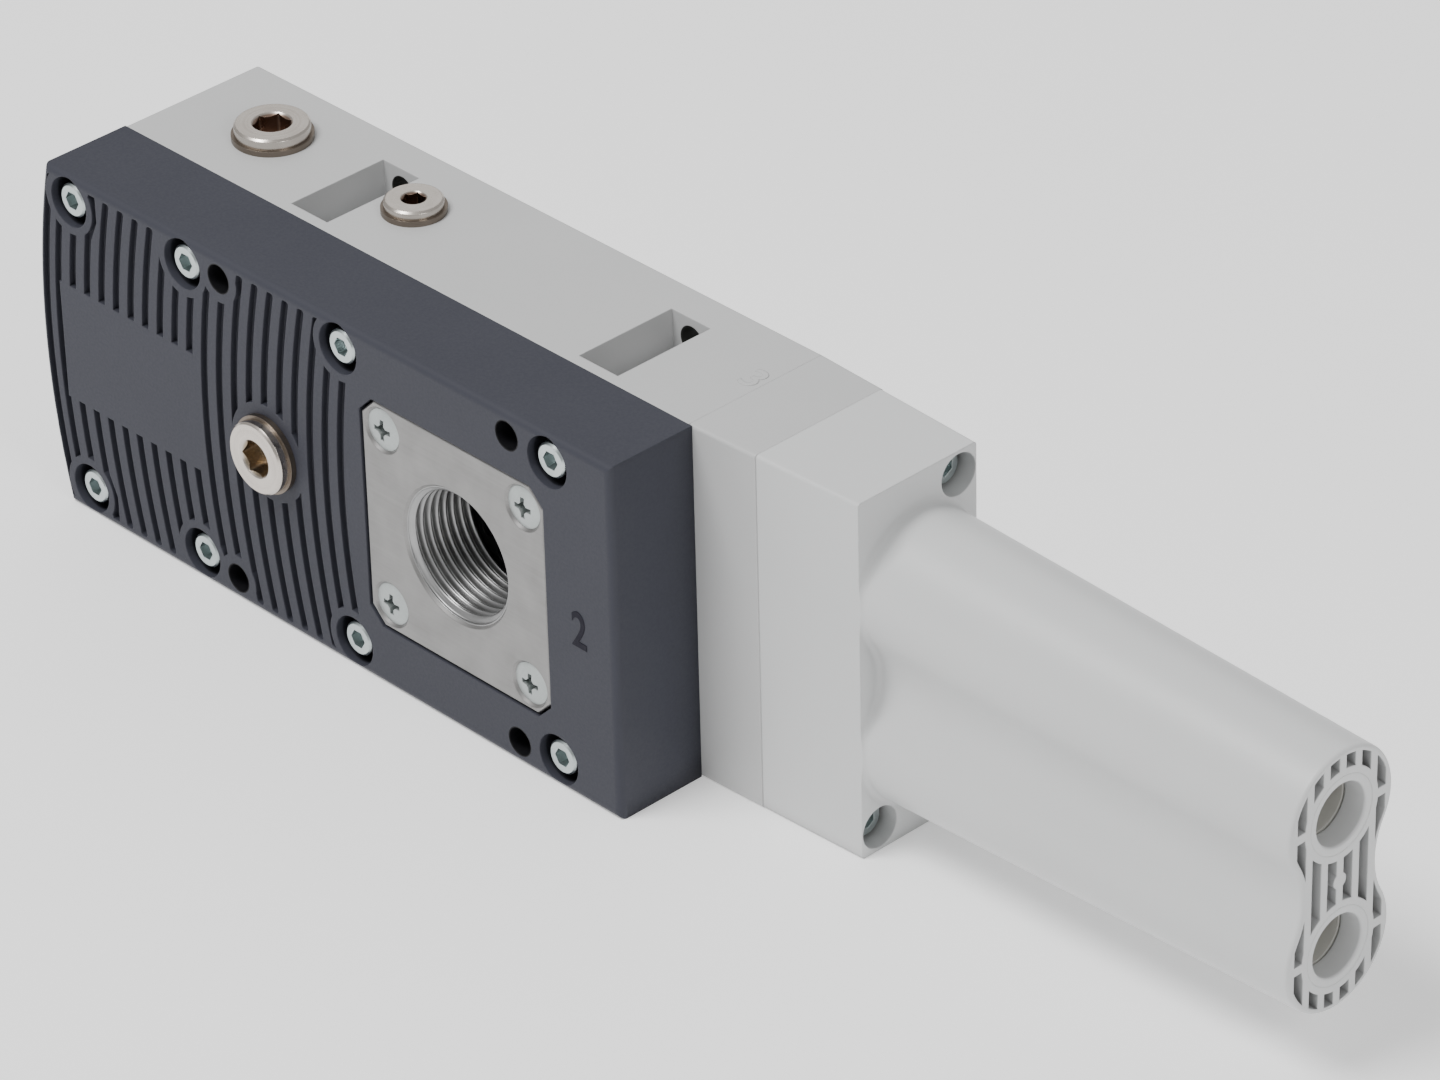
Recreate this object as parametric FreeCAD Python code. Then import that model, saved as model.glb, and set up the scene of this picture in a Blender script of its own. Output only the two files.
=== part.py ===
"""Multi-stage vacuum ejector with cover, port plate, exhaust block and twin silencer.

Frame: the origin is the centre of the four mounting holes in the back face.
+X points to the silencer, -Y to the cover and its vacuum port, +Z up.
All sizes are in millimetres. Stations are measured from the housing's left end.
"""
import FreeCAD, Part
import math
import os

V = FreeCAD.Vector

# Housing and cover, overall
HOUSING_LENGTH = 189.0
HEIGHT = 91.5
HOUSING_DEPTH = 40.5
COVER_DEPTH = 24.5
COVER_OVERHANG = 1.0
COVER_END_BULGE = 5.5
COVER_EDGE_RADIUS = 1.8
HOUSING_EDGE_RADIUS = 0.8
FLAT_FACE = 0.01
PARALLEL_SHARE = 0.95
OVERSHOOT = 1.0

# Four through holes for the user's own bolts, with a nut pocket on each
MOUNT_FROM_LEFT = 61.3
MOUNT_FROM_RIGHT = 31.7
MOUNT_FROM_EDGE = 5.75
MOUNT_HOLE_RADIUS = 3.5
POCKET_WIDTH = 12.4
POCKET_FRONT_WALL = 3.0
POCKET_BACK_WALL = 9.5
POCKET_BELOW_HOLE = 6.0
POCKET_FLOOR = 4.5

# Chambers inside the housing, from left to right
LEFT_WALL = 14.0
PRESSURE_CHAMBER_LENGTH = 30.0
FIRST_PARTITION = 8.0
FIRST_CHAMBER_LENGTH = 34.0
SECOND_PARTITION = 7.0
SECOND_CHAMBER_LENGTH = 33.0
THIRD_PARTITION = 7.0
RIGHT_WALL = 12.0
BACK_WALL = 6.0
CHAMBER_CORNER_RADIUS = 1.0

# Valve plate, its two gaskets and its flaps between the housing and the cover
REBATE_LEDGE = 3.0
REBATE_CORNER_RADIUS = 4.0
LEAST_CORNER_RADIUS = 0.5
PLATE_THICKNESS = 2.5
GASKET_THICKNESS = 1.0
GASKET_WIDTH = 4.0
SEAT_CLEARANCE = 0.2
WINDOW_HEIGHT = 16.0
WINDOW_MARGIN = 8.0
FLAP_THICKNESS = 1.2
FLAP_LAP = 2.5
RIVET_RADIUS = 1.5
RIVET_HEAD_RADIUS = 2.3
RIVET_HEAD_HEIGHT = 1.2
RIVET_SPACING = 9.0

# Cover screws, M5 socket heads in counterbores
FIRST_SCREW_STATION = 8.4
SECOND_SCREW_STATION = 48.6
THIRD_SCREW_STATION = 101.8
FOURTH_SCREW_FROM_RIGHT = 18.9
SCREW_FROM_EDGE = 7.05
SCREW_RADIUS = 2.45
SCREW_HEAD_RADIUS = 4.25
SCREW_HEAD_HEIGHT = 5.0
SCREW_HEX_ACROSS_FLATS = 4.0
SCREW_HEX_DEPTH = 2.8
SCREW_HOLE_RADIUS = 2.75
COUNTERBORE_RADIUS = 6.25
COUNTERBORE_DEPTH = 6.0
SCREW_EDGE_CHAMFER = 0.5
COVER_SCREW_LENGTH = 30.0
INSERT_OUTER_RADIUS = 3.4
INSERT_LENGTH = 10.0
INSERT_WAIST_DEPTH = 0.4
INSERT_TIP_SPACE = 3.0
THREAD_CLEARANCE = 0.05

# Cover, walls inside
COVER_FRONT_WALL = 4.5
COVER_RIB_HALF = 2.5
CHAMBER_INSIDE_GASKET = 0.5

# Curved grooves on the cover's front
GROOVE_PITCH = 5.2
GROOVE_WIDTH = 2.3
GROOVE_DEPTH = 1.6
GROOVE_END_RADIUS = 0.8
EDGE_GROOVE_STATION = -2.8
FIRST_GROOVE_STATION = 1.5
GROOVE_COUNT = 20
GROOVE_END_MARGIN = 2.0
GROOVE_CLEAR_OF_POCKET = 2.0
GROOVE_CLEAR_OF_HOLE = 2.6
GROOVE_CLEAR_OF_PLUG = 3.4
PLAIN_FIELD_START = 2.5
PLAIN_FIELD_END = 50.0
PLAIN_FIELD_HALF_HEIGHT = 15.6
KINK_STATION = 17.0
KINK_HEIGHT = 37.0
KINK_JOIN_HEIGHT = 31.5
KINK_JOIN_GROOVE = 2

# Vacuum port plate, a G1 thread in a square plate with a hub
PORT_FROM_RIGHT = 50.9
PORT_PLATE_SIDE = 59.4
PORT_PLATE_CORNER = 4.2
PORT_PLATE_THICKNESS = 5.0
PORT_PLATE_EDGE_CHAMFER = 0.4
PORT_PLATE_INSET = 0.3
PORT_RECESS_GAP = 0.4
PORT_THREAD_RADIUS = 16.62
PORT_THREAD_LENGTH = 19.5
PORT_MOUTH_CHAMFER = 0.8
PORT_HUB_RADIUS = 20.8
PORT_RECESS_WALL = 3.0
HUB_BOSS_WALL = 3.5
PORT_SCREW_SPACING = 46.0
PORT_SCREW_RADIUS = 2.95
PORT_SCREW_HEAD_RADIUS = 5.2
PORT_SCREW_RISE = 0.7
PORT_SCREW_LENGTH = 14.0
PORT_SINK_RADIUS = 5.8
PORT_INSERT_OUTER_RADIUS = 4.2
PORT_INSERT_LENGTH = 7.0
PORT_INSERT_BOSS_RADIUS = 6.2
CROSS_LENGTH = 5.2
CROSS_WIDTH = 1.2
CROSS_CORE_RADIUS = 1.3
CROSS_DEPTH = 2.2
PORT_SEAL_RADIUS = 24.2
SEAL_SECTION = 1.8
SIEVE_THICKNESS = 1.0
SIEVE_HOLE_RADIUS = 2.1
SIEVE_HOLE_PITCH = 6.4
SIEVE_RINGS = 2
SIEVE_LIP_WIDTH = 3.0
SIEVE_LIP_DEPTH = 2.0

# Screw plugs with a collar, G1/4 and G1/8, and their sealing rings
PLUG_EDGE_CHAMFER = 0.5
PLUG_SEAL_THICKNESS = 1.4
LARGE_THREAD_RADIUS = 6.58
LARGE_COLLAR_RADIUS = 9.0
LARGE_COLLAR_HEIGHT = 2.6
LARGE_PLUG_LENGTH = 12.0
LARGE_HEX_ACROSS_FLATS = 8.0
SMALL_THREAD_RADIUS = 4.86
SMALL_COLLAR_RADIUS = 7.0
SMALL_COLLAR_HEIGHT = 2.0
SMALL_PLUG_LENGTH = 8.0
SMALL_HEX_ACROSS_FLATS = 5.0
PLUG_HEX_DEPTH = 5.0
SOCKET_MOUTH_LAP = 0.2
PLUG_SEAL_LAP = 0.7
PLUG_TIP_CHAMFER = 1.0
PLUG_TIP_SPACE = 0.8
FRONT_PLUG_STATION = 75.0
SUPPLY_PLUG_STATION = 28.8
GAUGE_PLUG_STATION = 77.7
PASSAGE_RADIUS = 3.2
PLUG_BOSS_WALL = 4.0
SUPPLY_PORT_CHAMFER = 0.8

# Two nozzle lines, one above the other
NOZZLE_WALL_GAP = 1.3
NOZZLE_FLANGE_THICKNESS = 2.5
NOZZLE_FLANGE_LAP = 1.2
NOZZLE_FIT = 0.1
RING_WIDTH = 2.4
RING_SECTION = 1.4
NOZZLE_TIP_WALL = 1.3
THROAT_SHARE = 0.35
DRIVE_SEAT_RADIUS = 7.0
DRIVE_ENTRY_RADIUS = 3.0
DRIVE_THROAT_RADIUS = 1.0
DRIVE_EXIT_RADIUS = 1.4
DRIVE_LEAD = 4.0
DRIVE_TAIL = 12.0
SECOND_SEAT_RADIUS = 8.5
SECOND_ENTRY_RADIUS = 4.4
SECOND_THROAT_RADIUS = 2.6
SECOND_EXIT_RADIUS = 3.5
SECOND_LEAD = 12.0
SECOND_TAIL = 13.0
THIRD_SEAT_RADIUS = 9.5
THIRD_ENTRY_RADIUS = 7.1
THIRD_THROAT_RADIUS = 4.2
THIRD_EXIT_RADIUS = 5.7
THIRD_LEAD = 11.0
THIRD_TAIL = 14.0
OUTLET_SEAT_RADIUS = 10.5
OUTLET_ENTRY_RADIUS = 10.2
OUTLET_THROAT_RADIUS = 6.5
OUTLET_EXIT_RADIUS = 8.8
OUTLET_LEAD = 20.0
OUTLET_TAIL = 6.0

# Exhaust block and silencer flange, which narrow towards the silencer
BLOCK_LENGTH = 19.5
FLANGE_LENGTH = 29.7
FLANGE_TAPER = 2.2
SEAM_SETBACK = 0.2
BLOCK_BORE_RADIUS = 12.0
BLOCK_EDGE_RADIUS = 0.8
SHEET_GASKET_THICKNESS = 1.2
SHEET_GASKET_WIDTH = 2.2
LONG_SCREW_FROM_SIDE = 7.85
LONG_SCREW_FROM_EDGE = 6.0
LONG_SCREW_POCKET_RADIUS = 5.2
LONG_SCREW_POCKET_DEPTH = 9.0
BLOCK_SCREW_SEAT = 6.0
LONG_SCREW_GRIP = 10.0

# Silencer tube, two lobes that draft towards their open end
TUBE_LENGTH = 121.8
ROOT_LOBE_FROM_SIDE = 2.75
ROOT_LOBE_BEYOND_LINE = 2.5
ROOT_WAIST_DEPTH = 5.5
TUBE_DRAFT = 1.9
END_LOBE_BEYOND_LINE = 0.1
END_WAIST_DEPTH = 4.3
TUBE_WALL = 2.3
ROOT_COVE = 1.5
ROUNDING_STEPS = 4
END_EDGE_RADIUS = 0.8
END_WALL = 10.0
OUTLET_BORE_RADIUS = 8.8
OUTLET_BORE_DEPTH = 6.0
OUTLET_MOUTH_CHAMFER = 0.7
OUTLET_RING_WALL = 2.3
SLOT_PITCH = 4.8
SLOT_WIDTH = 2.8
SLOT_COUNT = 6
SLOT_DEPTH = 8.0
SLOT_RIM = 1.3
SLOT_WEB = 2.2
GATE_PAD_RADIUS = 1.9
ABSORBER_FIT = 0.25
INNER_TUBE_RADIUS = 8.0
INNER_TUBE_WALL = 0.9
INNER_TUBE_FIT = 0.15
INNER_TUBE_SHORT = 0.2
INNER_TUBE_SLOT_WIDTH = 3.0
INNER_TUBE_SLOT_LENGTH = 9.0
INNER_TUBE_SLOT_ROWS = 9

# Places worked out from the sizes above
HALF_HEIGHT = HEIGHT / 2
MOUNT_X = (HOUSING_LENGTH - MOUNT_FROM_LEFT - MOUNT_FROM_RIGHT) / 2
LEFT_X = -(MOUNT_FROM_LEFT + MOUNT_X)
RIGHT_X = LEFT_X + HOUSING_LENGTH
JOINT_Y = -HOUSING_DEPTH
FRONT_Y = JOINT_Y - COVER_DEPTH
MOUNT_Z = HALF_HEIGHT - MOUNT_FROM_EDGE
SCREW_Z = HALF_HEIGHT - SCREW_FROM_EDGE
CHAMBER_HALF = MOUNT_Z - POCKET_BELOW_HOLE - POCKET_FLOOR
REBATE_HALF = CHAMBER_HALF + REBATE_LEDGE
PLATE_FRONT_Y = JOINT_Y + GASKET_THICKNESS
PLATE_BACK_Y = PLATE_FRONT_Y + PLATE_THICKNESS
REBATE_FLOOR_Y = PLATE_BACK_Y + GASKET_THICKNESS
COVER_CHAMBER_HALF = REBATE_HALF - GASKET_WIDTH - CHAMBER_INSIDE_GASKET
AXIS_Y = -HOUSING_DEPTH / 2
LINE_Z = CHAMBER_HALF - OUTLET_SEAT_RADIUS - NOZZLE_FLANGE_LAP - NOZZLE_WALL_GAP
PORT_FACE_Y = FRONT_Y + PORT_PLATE_INSET
PORT_FLANGE_BACK_Y = PORT_FACE_Y + PORT_PLATE_THICKNESS
PORT_HUB_END_Y = PORT_FACE_Y + PORT_THREAD_LENGTH
PORT_X = RIGHT_X - PORT_FROM_RIGHT
BLOCK_END_X = RIGHT_X + BLOCK_LENGTH
FLANGE_END_X = BLOCK_END_X + FLANGE_LENGTH
TUBE_END_X = FLANGE_END_X + TUBE_LENGTH
LONG_SCREW_Y = HOUSING_DEPTH / 2 - LONG_SCREW_FROM_SIDE
LONG_SCREW_Z = HALF_HEIGHT - LONG_SCREW_FROM_EDGE
ROOT_LOBE_RADIUS = HOUSING_DEPTH / 2 - ROOT_LOBE_FROM_SIDE
ROOT_LOBE_OFFSET = LINE_Z + ROOT_LOBE_BEYOND_LINE
ROOT_WAIST = ROOT_LOBE_RADIUS - ROOT_WAIST_DEPTH
END_LOBE_RADIUS = ROOT_LOBE_RADIUS - TUBE_DRAFT
END_LOBE_OFFSET = LINE_Z + END_LOBE_BEYOND_LINE
END_WAIST = END_LOBE_RADIUS - END_WAIST_DEPTH
ARC_RADIUS = (HALF_HEIGHT ** 2 + COVER_END_BULGE ** 2) / (2 * COVER_END_BULGE)
SCREW_STATIONS = (FIRST_SCREW_STATION, SECOND_SCREW_STATION, THIRD_SCREW_STATION,
                  HOUSING_LENGTH - FOURTH_SCREW_FROM_RIGHT)
X_AXIS = V(1, 0, 0)
Y_AXIS = V(0, 1, 0)
Z_AXIS = V(0, 0, 1)


def station(distance):
    """X of a place that many millimetres from the housing's left end."""
    return LEFT_X + distance


def block(low, high):
    """Box between two opposite corners."""
    size = V(*high) - V(*low)
    return Part.makeBox(size.x, size.y, size.z, V(*low))


def rod(radius, start, end):
    """Round bar from one point to another."""
    way = V(*end) - V(*start)
    return Part.makeCylinder(radius, way.Length, V(*start), way)


def turned(profile, origin, direction):
    """Solid of revolution; profile points are (distance along direction, radius)."""
    points = [V(radius, 0, along) for along, radius in profile]
    face = Part.Face(Part.makePolygon(points + points[:1]))
    solid = face.revolve(V(0, 0, 0), Z_AXIS, 360)
    solid.Placement = FreeCAD.Placement(V(*origin), FreeCAD.Rotation(Z_AXIS, V(*direction)))
    return solid


def ring(inner, outer, thickness, origin, direction):
    """Flat ring that starts at the origin and grows along the direction."""
    profile = [(0, inner), (0, outer), (thickness, outer), (thickness, inner)]
    return turned(profile, origin, direction)


def hexagon(across_flats, depth, origin, direction):
    """Hexagonal prism for a socket."""
    corner = across_flats / math.sqrt(3)
    angles = [math.radians(60 * k) for k in range(6)]
    points = [V(corner * math.cos(a), corner * math.sin(a), 0) for a in angles]
    prism = Part.Face(Part.makePolygon(points + points[:1])).extrude(V(0, 0, depth))
    prism.Placement = FreeCAD.Placement(V(*origin), FreeCAD.Rotation(Z_AXIS, V(*direction)))
    return prism


def fuse_all(shapes):
    """One shape out of several."""
    first, rest = shapes[0], shapes[1:]
    return first.fuse(rest) if rest else first


def edges_along(shape, axis):
    """Edges of a shape that run along an axis."""
    return [e for e in shape.Edges if abs(e.tangentAt(e.FirstParameter).dot(axis)) > PARALLEL_SHARE]


def rounded_box(low, high, radius):
    """Box whose four edges along Y are rounded."""
    shape = block(low, high)
    return shape.makeFillet(radius, edges_along(shape, Y_AXIS))


def mirrored_pair(solid):
    """The solid and its mirror image about the middle height."""
    return [solid, solid.mirror(V(0, 0, 0), Z_AXIS)]


def mount_places():
    """Centres of the four mounting holes."""
    return [(x, z) for x in (-MOUNT_X, MOUNT_X) for z in (-MOUNT_Z, MOUNT_Z)]


def cover_screw_places():
    """Centres of the eight cover screws."""
    return [(station(s), z) for s in SCREW_STATIONS for z in (-SCREW_Z, SCREW_Z)]


def port_screw_places():
    """Centres of the four port plate screws."""
    half = PORT_SCREW_SPACING / 2
    return [(PORT_X + dx, dz) for dx in (-half, half) for dz in (-half, half)]


def chamber_spans():
    """Start and end stations of the four chambers, from left to right."""
    first = LEFT_WALL
    second = first + PRESSURE_CHAMBER_LENGTH + FIRST_PARTITION
    third = second + FIRST_CHAMBER_LENGTH + SECOND_PARTITION
    fourth = third + SECOND_CHAMBER_LENGTH + THIRD_PARTITION
    ends = (first + PRESSURE_CHAMBER_LENGTH, second + FIRST_CHAMBER_LENGTH)
    return [(first, ends[0]), (second, ends[1]), (third, third + SECOND_CHAMBER_LENGTH),
            (fourth, HOUSING_LENGTH - RIGHT_WALL)]


def nozzle_stages():
    """For each nozzle: name, seat start and length, radii (seat, entry, throat, exit), lead and tail."""
    ends = [end for _, end in chamber_spans()]
    drive = (DRIVE_SEAT_RADIUS, DRIVE_ENTRY_RADIUS, DRIVE_THROAT_RADIUS, DRIVE_EXIT_RADIUS)
    second = (SECOND_SEAT_RADIUS, SECOND_ENTRY_RADIUS, SECOND_THROAT_RADIUS, SECOND_EXIT_RADIUS)
    third = (THIRD_SEAT_RADIUS, THIRD_ENTRY_RADIUS, THIRD_THROAT_RADIUS, THIRD_EXIT_RADIUS)
    outlet = (OUTLET_SEAT_RADIUS, OUTLET_ENTRY_RADIUS, OUTLET_THROAT_RADIUS, OUTLET_EXIT_RADIUS)
    return [
        ("drive_nozzle", ends[0], FIRST_PARTITION, drive, DRIVE_LEAD, DRIVE_TAIL),
        ("second_nozzle", ends[1], SECOND_PARTITION, second, SECOND_LEAD, SECOND_TAIL),
        ("third_nozzle", ends[2], THIRD_PARTITION, third, THIRD_LEAD, THIRD_TAIL),
        ("outlet_nozzle", ends[3], RIGHT_WALL, outlet, OUTLET_LEAD, OUTLET_TAIL),
    ]


def long_screw_places(side):
    """Centres of the two screws on one diagonal; side is 1 for the silencer's, -1 for the block's."""
    return [(AXIS_Y + side * LONG_SCREW_Y, LONG_SCREW_Z), (AXIS_Y - side * LONG_SCREW_Y, -LONG_SCREW_Z)]


def mount_pockets():
    """Nut pockets in the top and bottom faces, with the bolt holes that cross them."""
    cuts = []
    for x, z in mount_places():
        outward = 1 if z > 0 else -1
        heights = sorted((outward * (MOUNT_Z - POCKET_BELOW_HOLE), outward * (HALF_HEIGHT + OVERSHOOT)))
        low = (x - POCKET_WIDTH / 2, JOINT_Y + POCKET_FRONT_WALL, heights[0])
        high = (x + POCKET_WIDTH / 2, -POCKET_BACK_WALL, heights[1])
        cuts.append(block(low, high))
        cuts.append(rod(MOUNT_HOLE_RADIUS, (x, JOINT_Y - OVERSHOOT, z), (x, OVERSHOOT, z)))
    return cuts


def housing_chambers():
    """The four chambers, open to the front, and the rebate that takes the valve plate."""
    cuts = []
    for start, end in chamber_spans():
        low = (station(start), JOINT_Y - OVERSHOOT, -CHAMBER_HALF)
        high = (station(end), -BACK_WALL, CHAMBER_HALF)
        cuts.append(rounded_box(low, high, CHAMBER_CORNER_RADIUS))
    cuts.append(rebate_block(JOINT_Y - OVERSHOOT, REBATE_FLOOR_Y, 0))
    return cuts


def rebate_block(y_low, y_high, inset):
    """Rounded block that follows the outline of the rebate, smaller by the inset."""
    low = (station(LEFT_WALL - REBATE_LEDGE) + inset, y_low, -REBATE_HALF + inset)
    high = (RIGHT_X - RIGHT_WALL + REBATE_LEDGE - inset, y_high, REBATE_HALF - inset)
    return rounded_box(low, high, max(REBATE_CORNER_RADIUS - inset, LEAST_CORNER_RADIUS))


def plug_hole(thread_radius, depth, passage, origin, direction):
    """Threaded hole for a plug and the narrower passage behind it."""
    way = V(*direction)
    start = V(*origin)
    hole = Part.makeCylinder(thread_radius, depth + PLUG_TIP_SPACE, start, way)
    return hole.fuse(Part.makeCylinder(PASSAGE_RADIUS, passage, start, way))


def housing_outer_edges(shape):
    """Edges of the back face and of the left end, but not those in the joint plane."""
    def in_joint(box):
        return box.YMax < JOINT_Y + FLAT_FACE
    boxes = [(edge, edge.BoundBox) for edge in shape.Edges]
    return [edge for edge, box in boxes
            if not in_joint(box) and (box.YMin > -FLAT_FACE or box.XMax < LEFT_X + FLAT_FACE)]


def make_housing():
    """Moulded housing with chambers, nozzle seats, insert holes, ports and nut pockets."""
    shape = block((LEFT_X, JOINT_Y, -HALF_HEIGHT), (RIGHT_X, 0, HALF_HEIGHT))
    shape = shape.makeFillet(HOUSING_EDGE_RADIUS, housing_outer_edges(shape))
    cuts = housing_chambers() + mount_pockets()
    for _, seat, length, radii, _, _ in nozzle_stages():
        for z in (-LINE_Z, LINE_Z):
            start = (station(seat) - OVERSHOOT, AXIS_Y, z)
            end = (station(seat + length) + OVERSHOOT, AXIS_Y, z)
            cuts.append(rod(radii[0] + NOZZLE_FIT, start, end))
    insert_hole = INSERT_OUTER_RADIUS + THREAD_CLEARANCE
    for x, z in cover_screw_places():
        end_y = JOINT_Y + COVER_SCREW_LENGTH - (COVER_DEPTH - COUNTERBORE_DEPTH) + INSERT_TIP_SPACE
        cuts.append(rod(insert_hole, (x, JOINT_Y - OVERSHOOT, z), (x, end_y, z)))
    for side in (1, -1):
        for y, z in long_screw_places(side):
            end_x = RIGHT_X - LONG_SCREW_GRIP - INSERT_TIP_SPACE
            cuts.append(rod(insert_hole, (RIGHT_X + OVERSHOOT, y, z), (end_x, y, z)))
    passage = HALF_HEIGHT - CHAMBER_HALF + OVERSHOOT
    top = (station(SUPPLY_PLUG_STATION), AXIS_Y, HALF_HEIGHT)
    cuts.append(plug_hole(LARGE_THREAD_RADIUS, LARGE_PLUG_LENGTH, passage, top, (0, 0, -1)))
    top = (station(GAUGE_PLUG_STATION), AXIS_Y, HALF_HEIGHT)
    cuts.append(plug_hole(SMALL_THREAD_RADIUS, SMALL_PLUG_LENGTH, passage, top, (0, 0, -1)))
    mouth = LARGE_THREAD_RADIUS + SUPPLY_PORT_CHAMFER
    inner_end = LEFT_WALL + OVERSHOOT
    profile = [(-OVERSHOOT, 0), (-OVERSHOOT, mouth + OVERSHOOT), (SUPPLY_PORT_CHAMFER, LARGE_THREAD_RADIUS),
               (inner_end, LARGE_THREAD_RADIUS), (inner_end, 0)]
    cuts.append(turned(profile, (LEFT_X, AXIS_Y, 0), (1, 0, 0)))
    return shape.cut(cuts)


def cover_outline_face(y):
    """Face of the cover's outline: straight on three sides, bowed at the left end."""
    left, right = LEFT_X, RIGHT_X + COVER_OVERHANG
    low, high = -HALF_HEIGHT, HALF_HEIGHT
    arc = Part.Arc(V(left, y, high), V(left - COVER_END_BULGE, y, 0), V(left, y, low)).toShape()
    lines = [Part.makeLine(V(left, y, low), V(right, y, low)),
             Part.makeLine(V(right, y, low), V(right, y, high)),
             Part.makeLine(V(right, y, high), V(left, y, high))]
    return Part.Face(Part.Wire([arc] + lines))


def sag_at(height):
    """How far the bowed outline has drawn in at a height above the middle."""
    return ARC_RADIUS - math.sqrt(ARC_RADIUS ** 2 - height ** 2)


def groove_band(middle, height):
    """Curved band as wide as a groove; the arc matches the bowed end of the cover."""
    half = GROOVE_WIDTH / 2
    left, right = middle + sag_at(height) - half, middle + sag_at(height) + half
    corners = [V(left, FRONT_Y, height), V(left, FRONT_Y, -height),
               V(right, FRONT_Y, -height), V(right, FRONT_Y, height)]
    left_arc = Part.Arc(corners[0], V(middle - half, FRONT_Y, 0), corners[1]).toShape()
    right_arc = Part.Arc(corners[2], V(middle + half, FRONT_Y, 0), corners[3]).toShape()
    wire = Part.Wire([left_arc, Part.makeLine(corners[1], corners[2]), right_arc,
                      Part.makeLine(corners[3], corners[0])])
    band = Part.Face(wire).extrude(V(0, GROOVE_DEPTH, 0))
    return band.makeFillet(GROOVE_END_RADIUS, edges_along(band, Y_AXIS))


def kink_band(height):
    """Short groove beside the left corner pocket that bends over into the groove next to it."""
    half = GROOVE_WIDTH / 2
    x = station(KINK_STATION)
    join_x = station(FIRST_GROOVE_STATION + KINK_JOIN_GROOVE * GROOVE_PITCH) + sag_at(KINK_JOIN_HEIGHT)
    places = [(x - half, height), (x + half, height), (x + half, KINK_HEIGHT),
              (join_x + half, KINK_JOIN_HEIGHT), (join_x - half, KINK_JOIN_HEIGHT), (x - half, KINK_HEIGHT)]
    points = [V(px, FRONT_Y, pz) for px, pz in places]
    return Part.Face(Part.makePolygon(points + points[:1])).extrude(V(0, GROOVE_DEPTH, 0))


def groove_keep_out():
    """Areas of the front that stay smooth: round the screws, bolt holes, plug and plain field."""
    low_y, high_y = FRONT_Y - OVERSHOOT, FRONT_Y + GROOVE_DEPTH + OVERSHOOT
    areas = []
    for x, z in cover_screw_places():
        radius = COUNTERBORE_RADIUS + GROOVE_CLEAR_OF_POCKET
        areas.append(rod(radius, (x, low_y, z), (x, high_y, z)))
    for x, z in mount_places():
        radius = MOUNT_HOLE_RADIUS + GROOVE_CLEAR_OF_HOLE
        areas.append(rod(radius, (x, low_y, z), (x, high_y, z)))
    plug = station(FRONT_PLUG_STATION)
    areas.append(rod(LARGE_COLLAR_RADIUS + GROOVE_CLEAR_OF_PLUG, (plug, low_y, 0), (plug, high_y, 0)))
    field_low = (station(PLAIN_FIELD_START), low_y, -PLAIN_FIELD_HALF_HEIGHT)
    areas.append(block(field_low, (station(PLAIN_FIELD_END), high_y, PLAIN_FIELD_HALF_HEIGHT)))
    return areas


def cover_grooves():
    """The curved grooves, with the short ones that step round the left corner pockets."""
    height = HALF_HEIGHT - GROOVE_END_MARGIN
    stations = [FIRST_GROOVE_STATION + k * GROOVE_PITCH for k in range(GROOVE_COUNT)]
    bands = [groove_band(station(s), height) for s in [EDGE_GROOVE_STATION] + stations]
    grooves = Part.makeCompound(bands).cut(groove_keep_out())
    kink = kink_band(height).cut(groove_keep_out())
    return [grooves] + mirrored_pair(kink)


def cover_hollows():
    """Left core, vacuum chamber and the bosses that stand in them."""
    half = COVER_CHAMBER_HALF
    radius = CHAMBER_CORNER_RADIUS
    floor_y = FRONT_Y + COVER_FRONT_WALL
    divide = LEFT_WALL + PRESSURE_CHAMBER_LENGTH + FIRST_PARTITION / 2
    core_start = LEFT_WALL - REBATE_LEDGE + GASKET_WIDTH + CHAMBER_INSIDE_GASKET
    core = rounded_box((station(core_start), floor_y, -half),
                       (station(divide) - COVER_RIB_HALF, JOINT_Y + OVERSHOOT, half), radius)
    recess_left = PORT_X - PORT_PLATE_SIDE / 2 - PORT_RECESS_GAP
    deep = rounded_box((station(divide) + COVER_RIB_HALF, floor_y, -half),
                       (recess_left - PORT_RECESS_WALL, JOINT_Y + OVERSHOOT, half), radius)
    right = RIGHT_X - RIGHT_WALL + REBATE_LEDGE - GASKET_WIDTH - CHAMBER_INSIDE_GASKET
    shallow = rounded_box((station(divide) + COVER_RIB_HALF, PORT_FLANGE_BACK_Y + PORT_RECESS_WALL, -half),
                          (right, JOINT_Y + OVERSHOOT, half), radius)
    bosses = [rod(LARGE_THREAD_RADIUS + PLUG_BOSS_WALL, (station(FRONT_PLUG_STATION), FRONT_Y, 0),
                  (station(FRONT_PLUG_STATION), FRONT_Y + LARGE_PLUG_LENGTH + PLUG_TIP_SPACE, 0))]
    lip_y = PORT_HUB_END_Y + SIEVE_THICKNESS + SEAT_CLEARANCE + SIEVE_LIP_DEPTH
    bosses.append(rod(PORT_HUB_RADIUS + HUB_BOSS_WALL, (PORT_X, FRONT_Y, 0), (PORT_X, lip_y, 0)))
    for x, z in port_screw_places():
        end_y = PORT_FLANGE_BACK_Y + PORT_INSERT_LENGTH + INSERT_TIP_SPACE + PORT_RECESS_WALL
        bosses.append(rod(PORT_INSERT_BOSS_RADIUS, (x, FRONT_Y, z), (x, end_y, z)))
    return [core, fuse_all([deep, shallow]).cut(bosses)]


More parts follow.
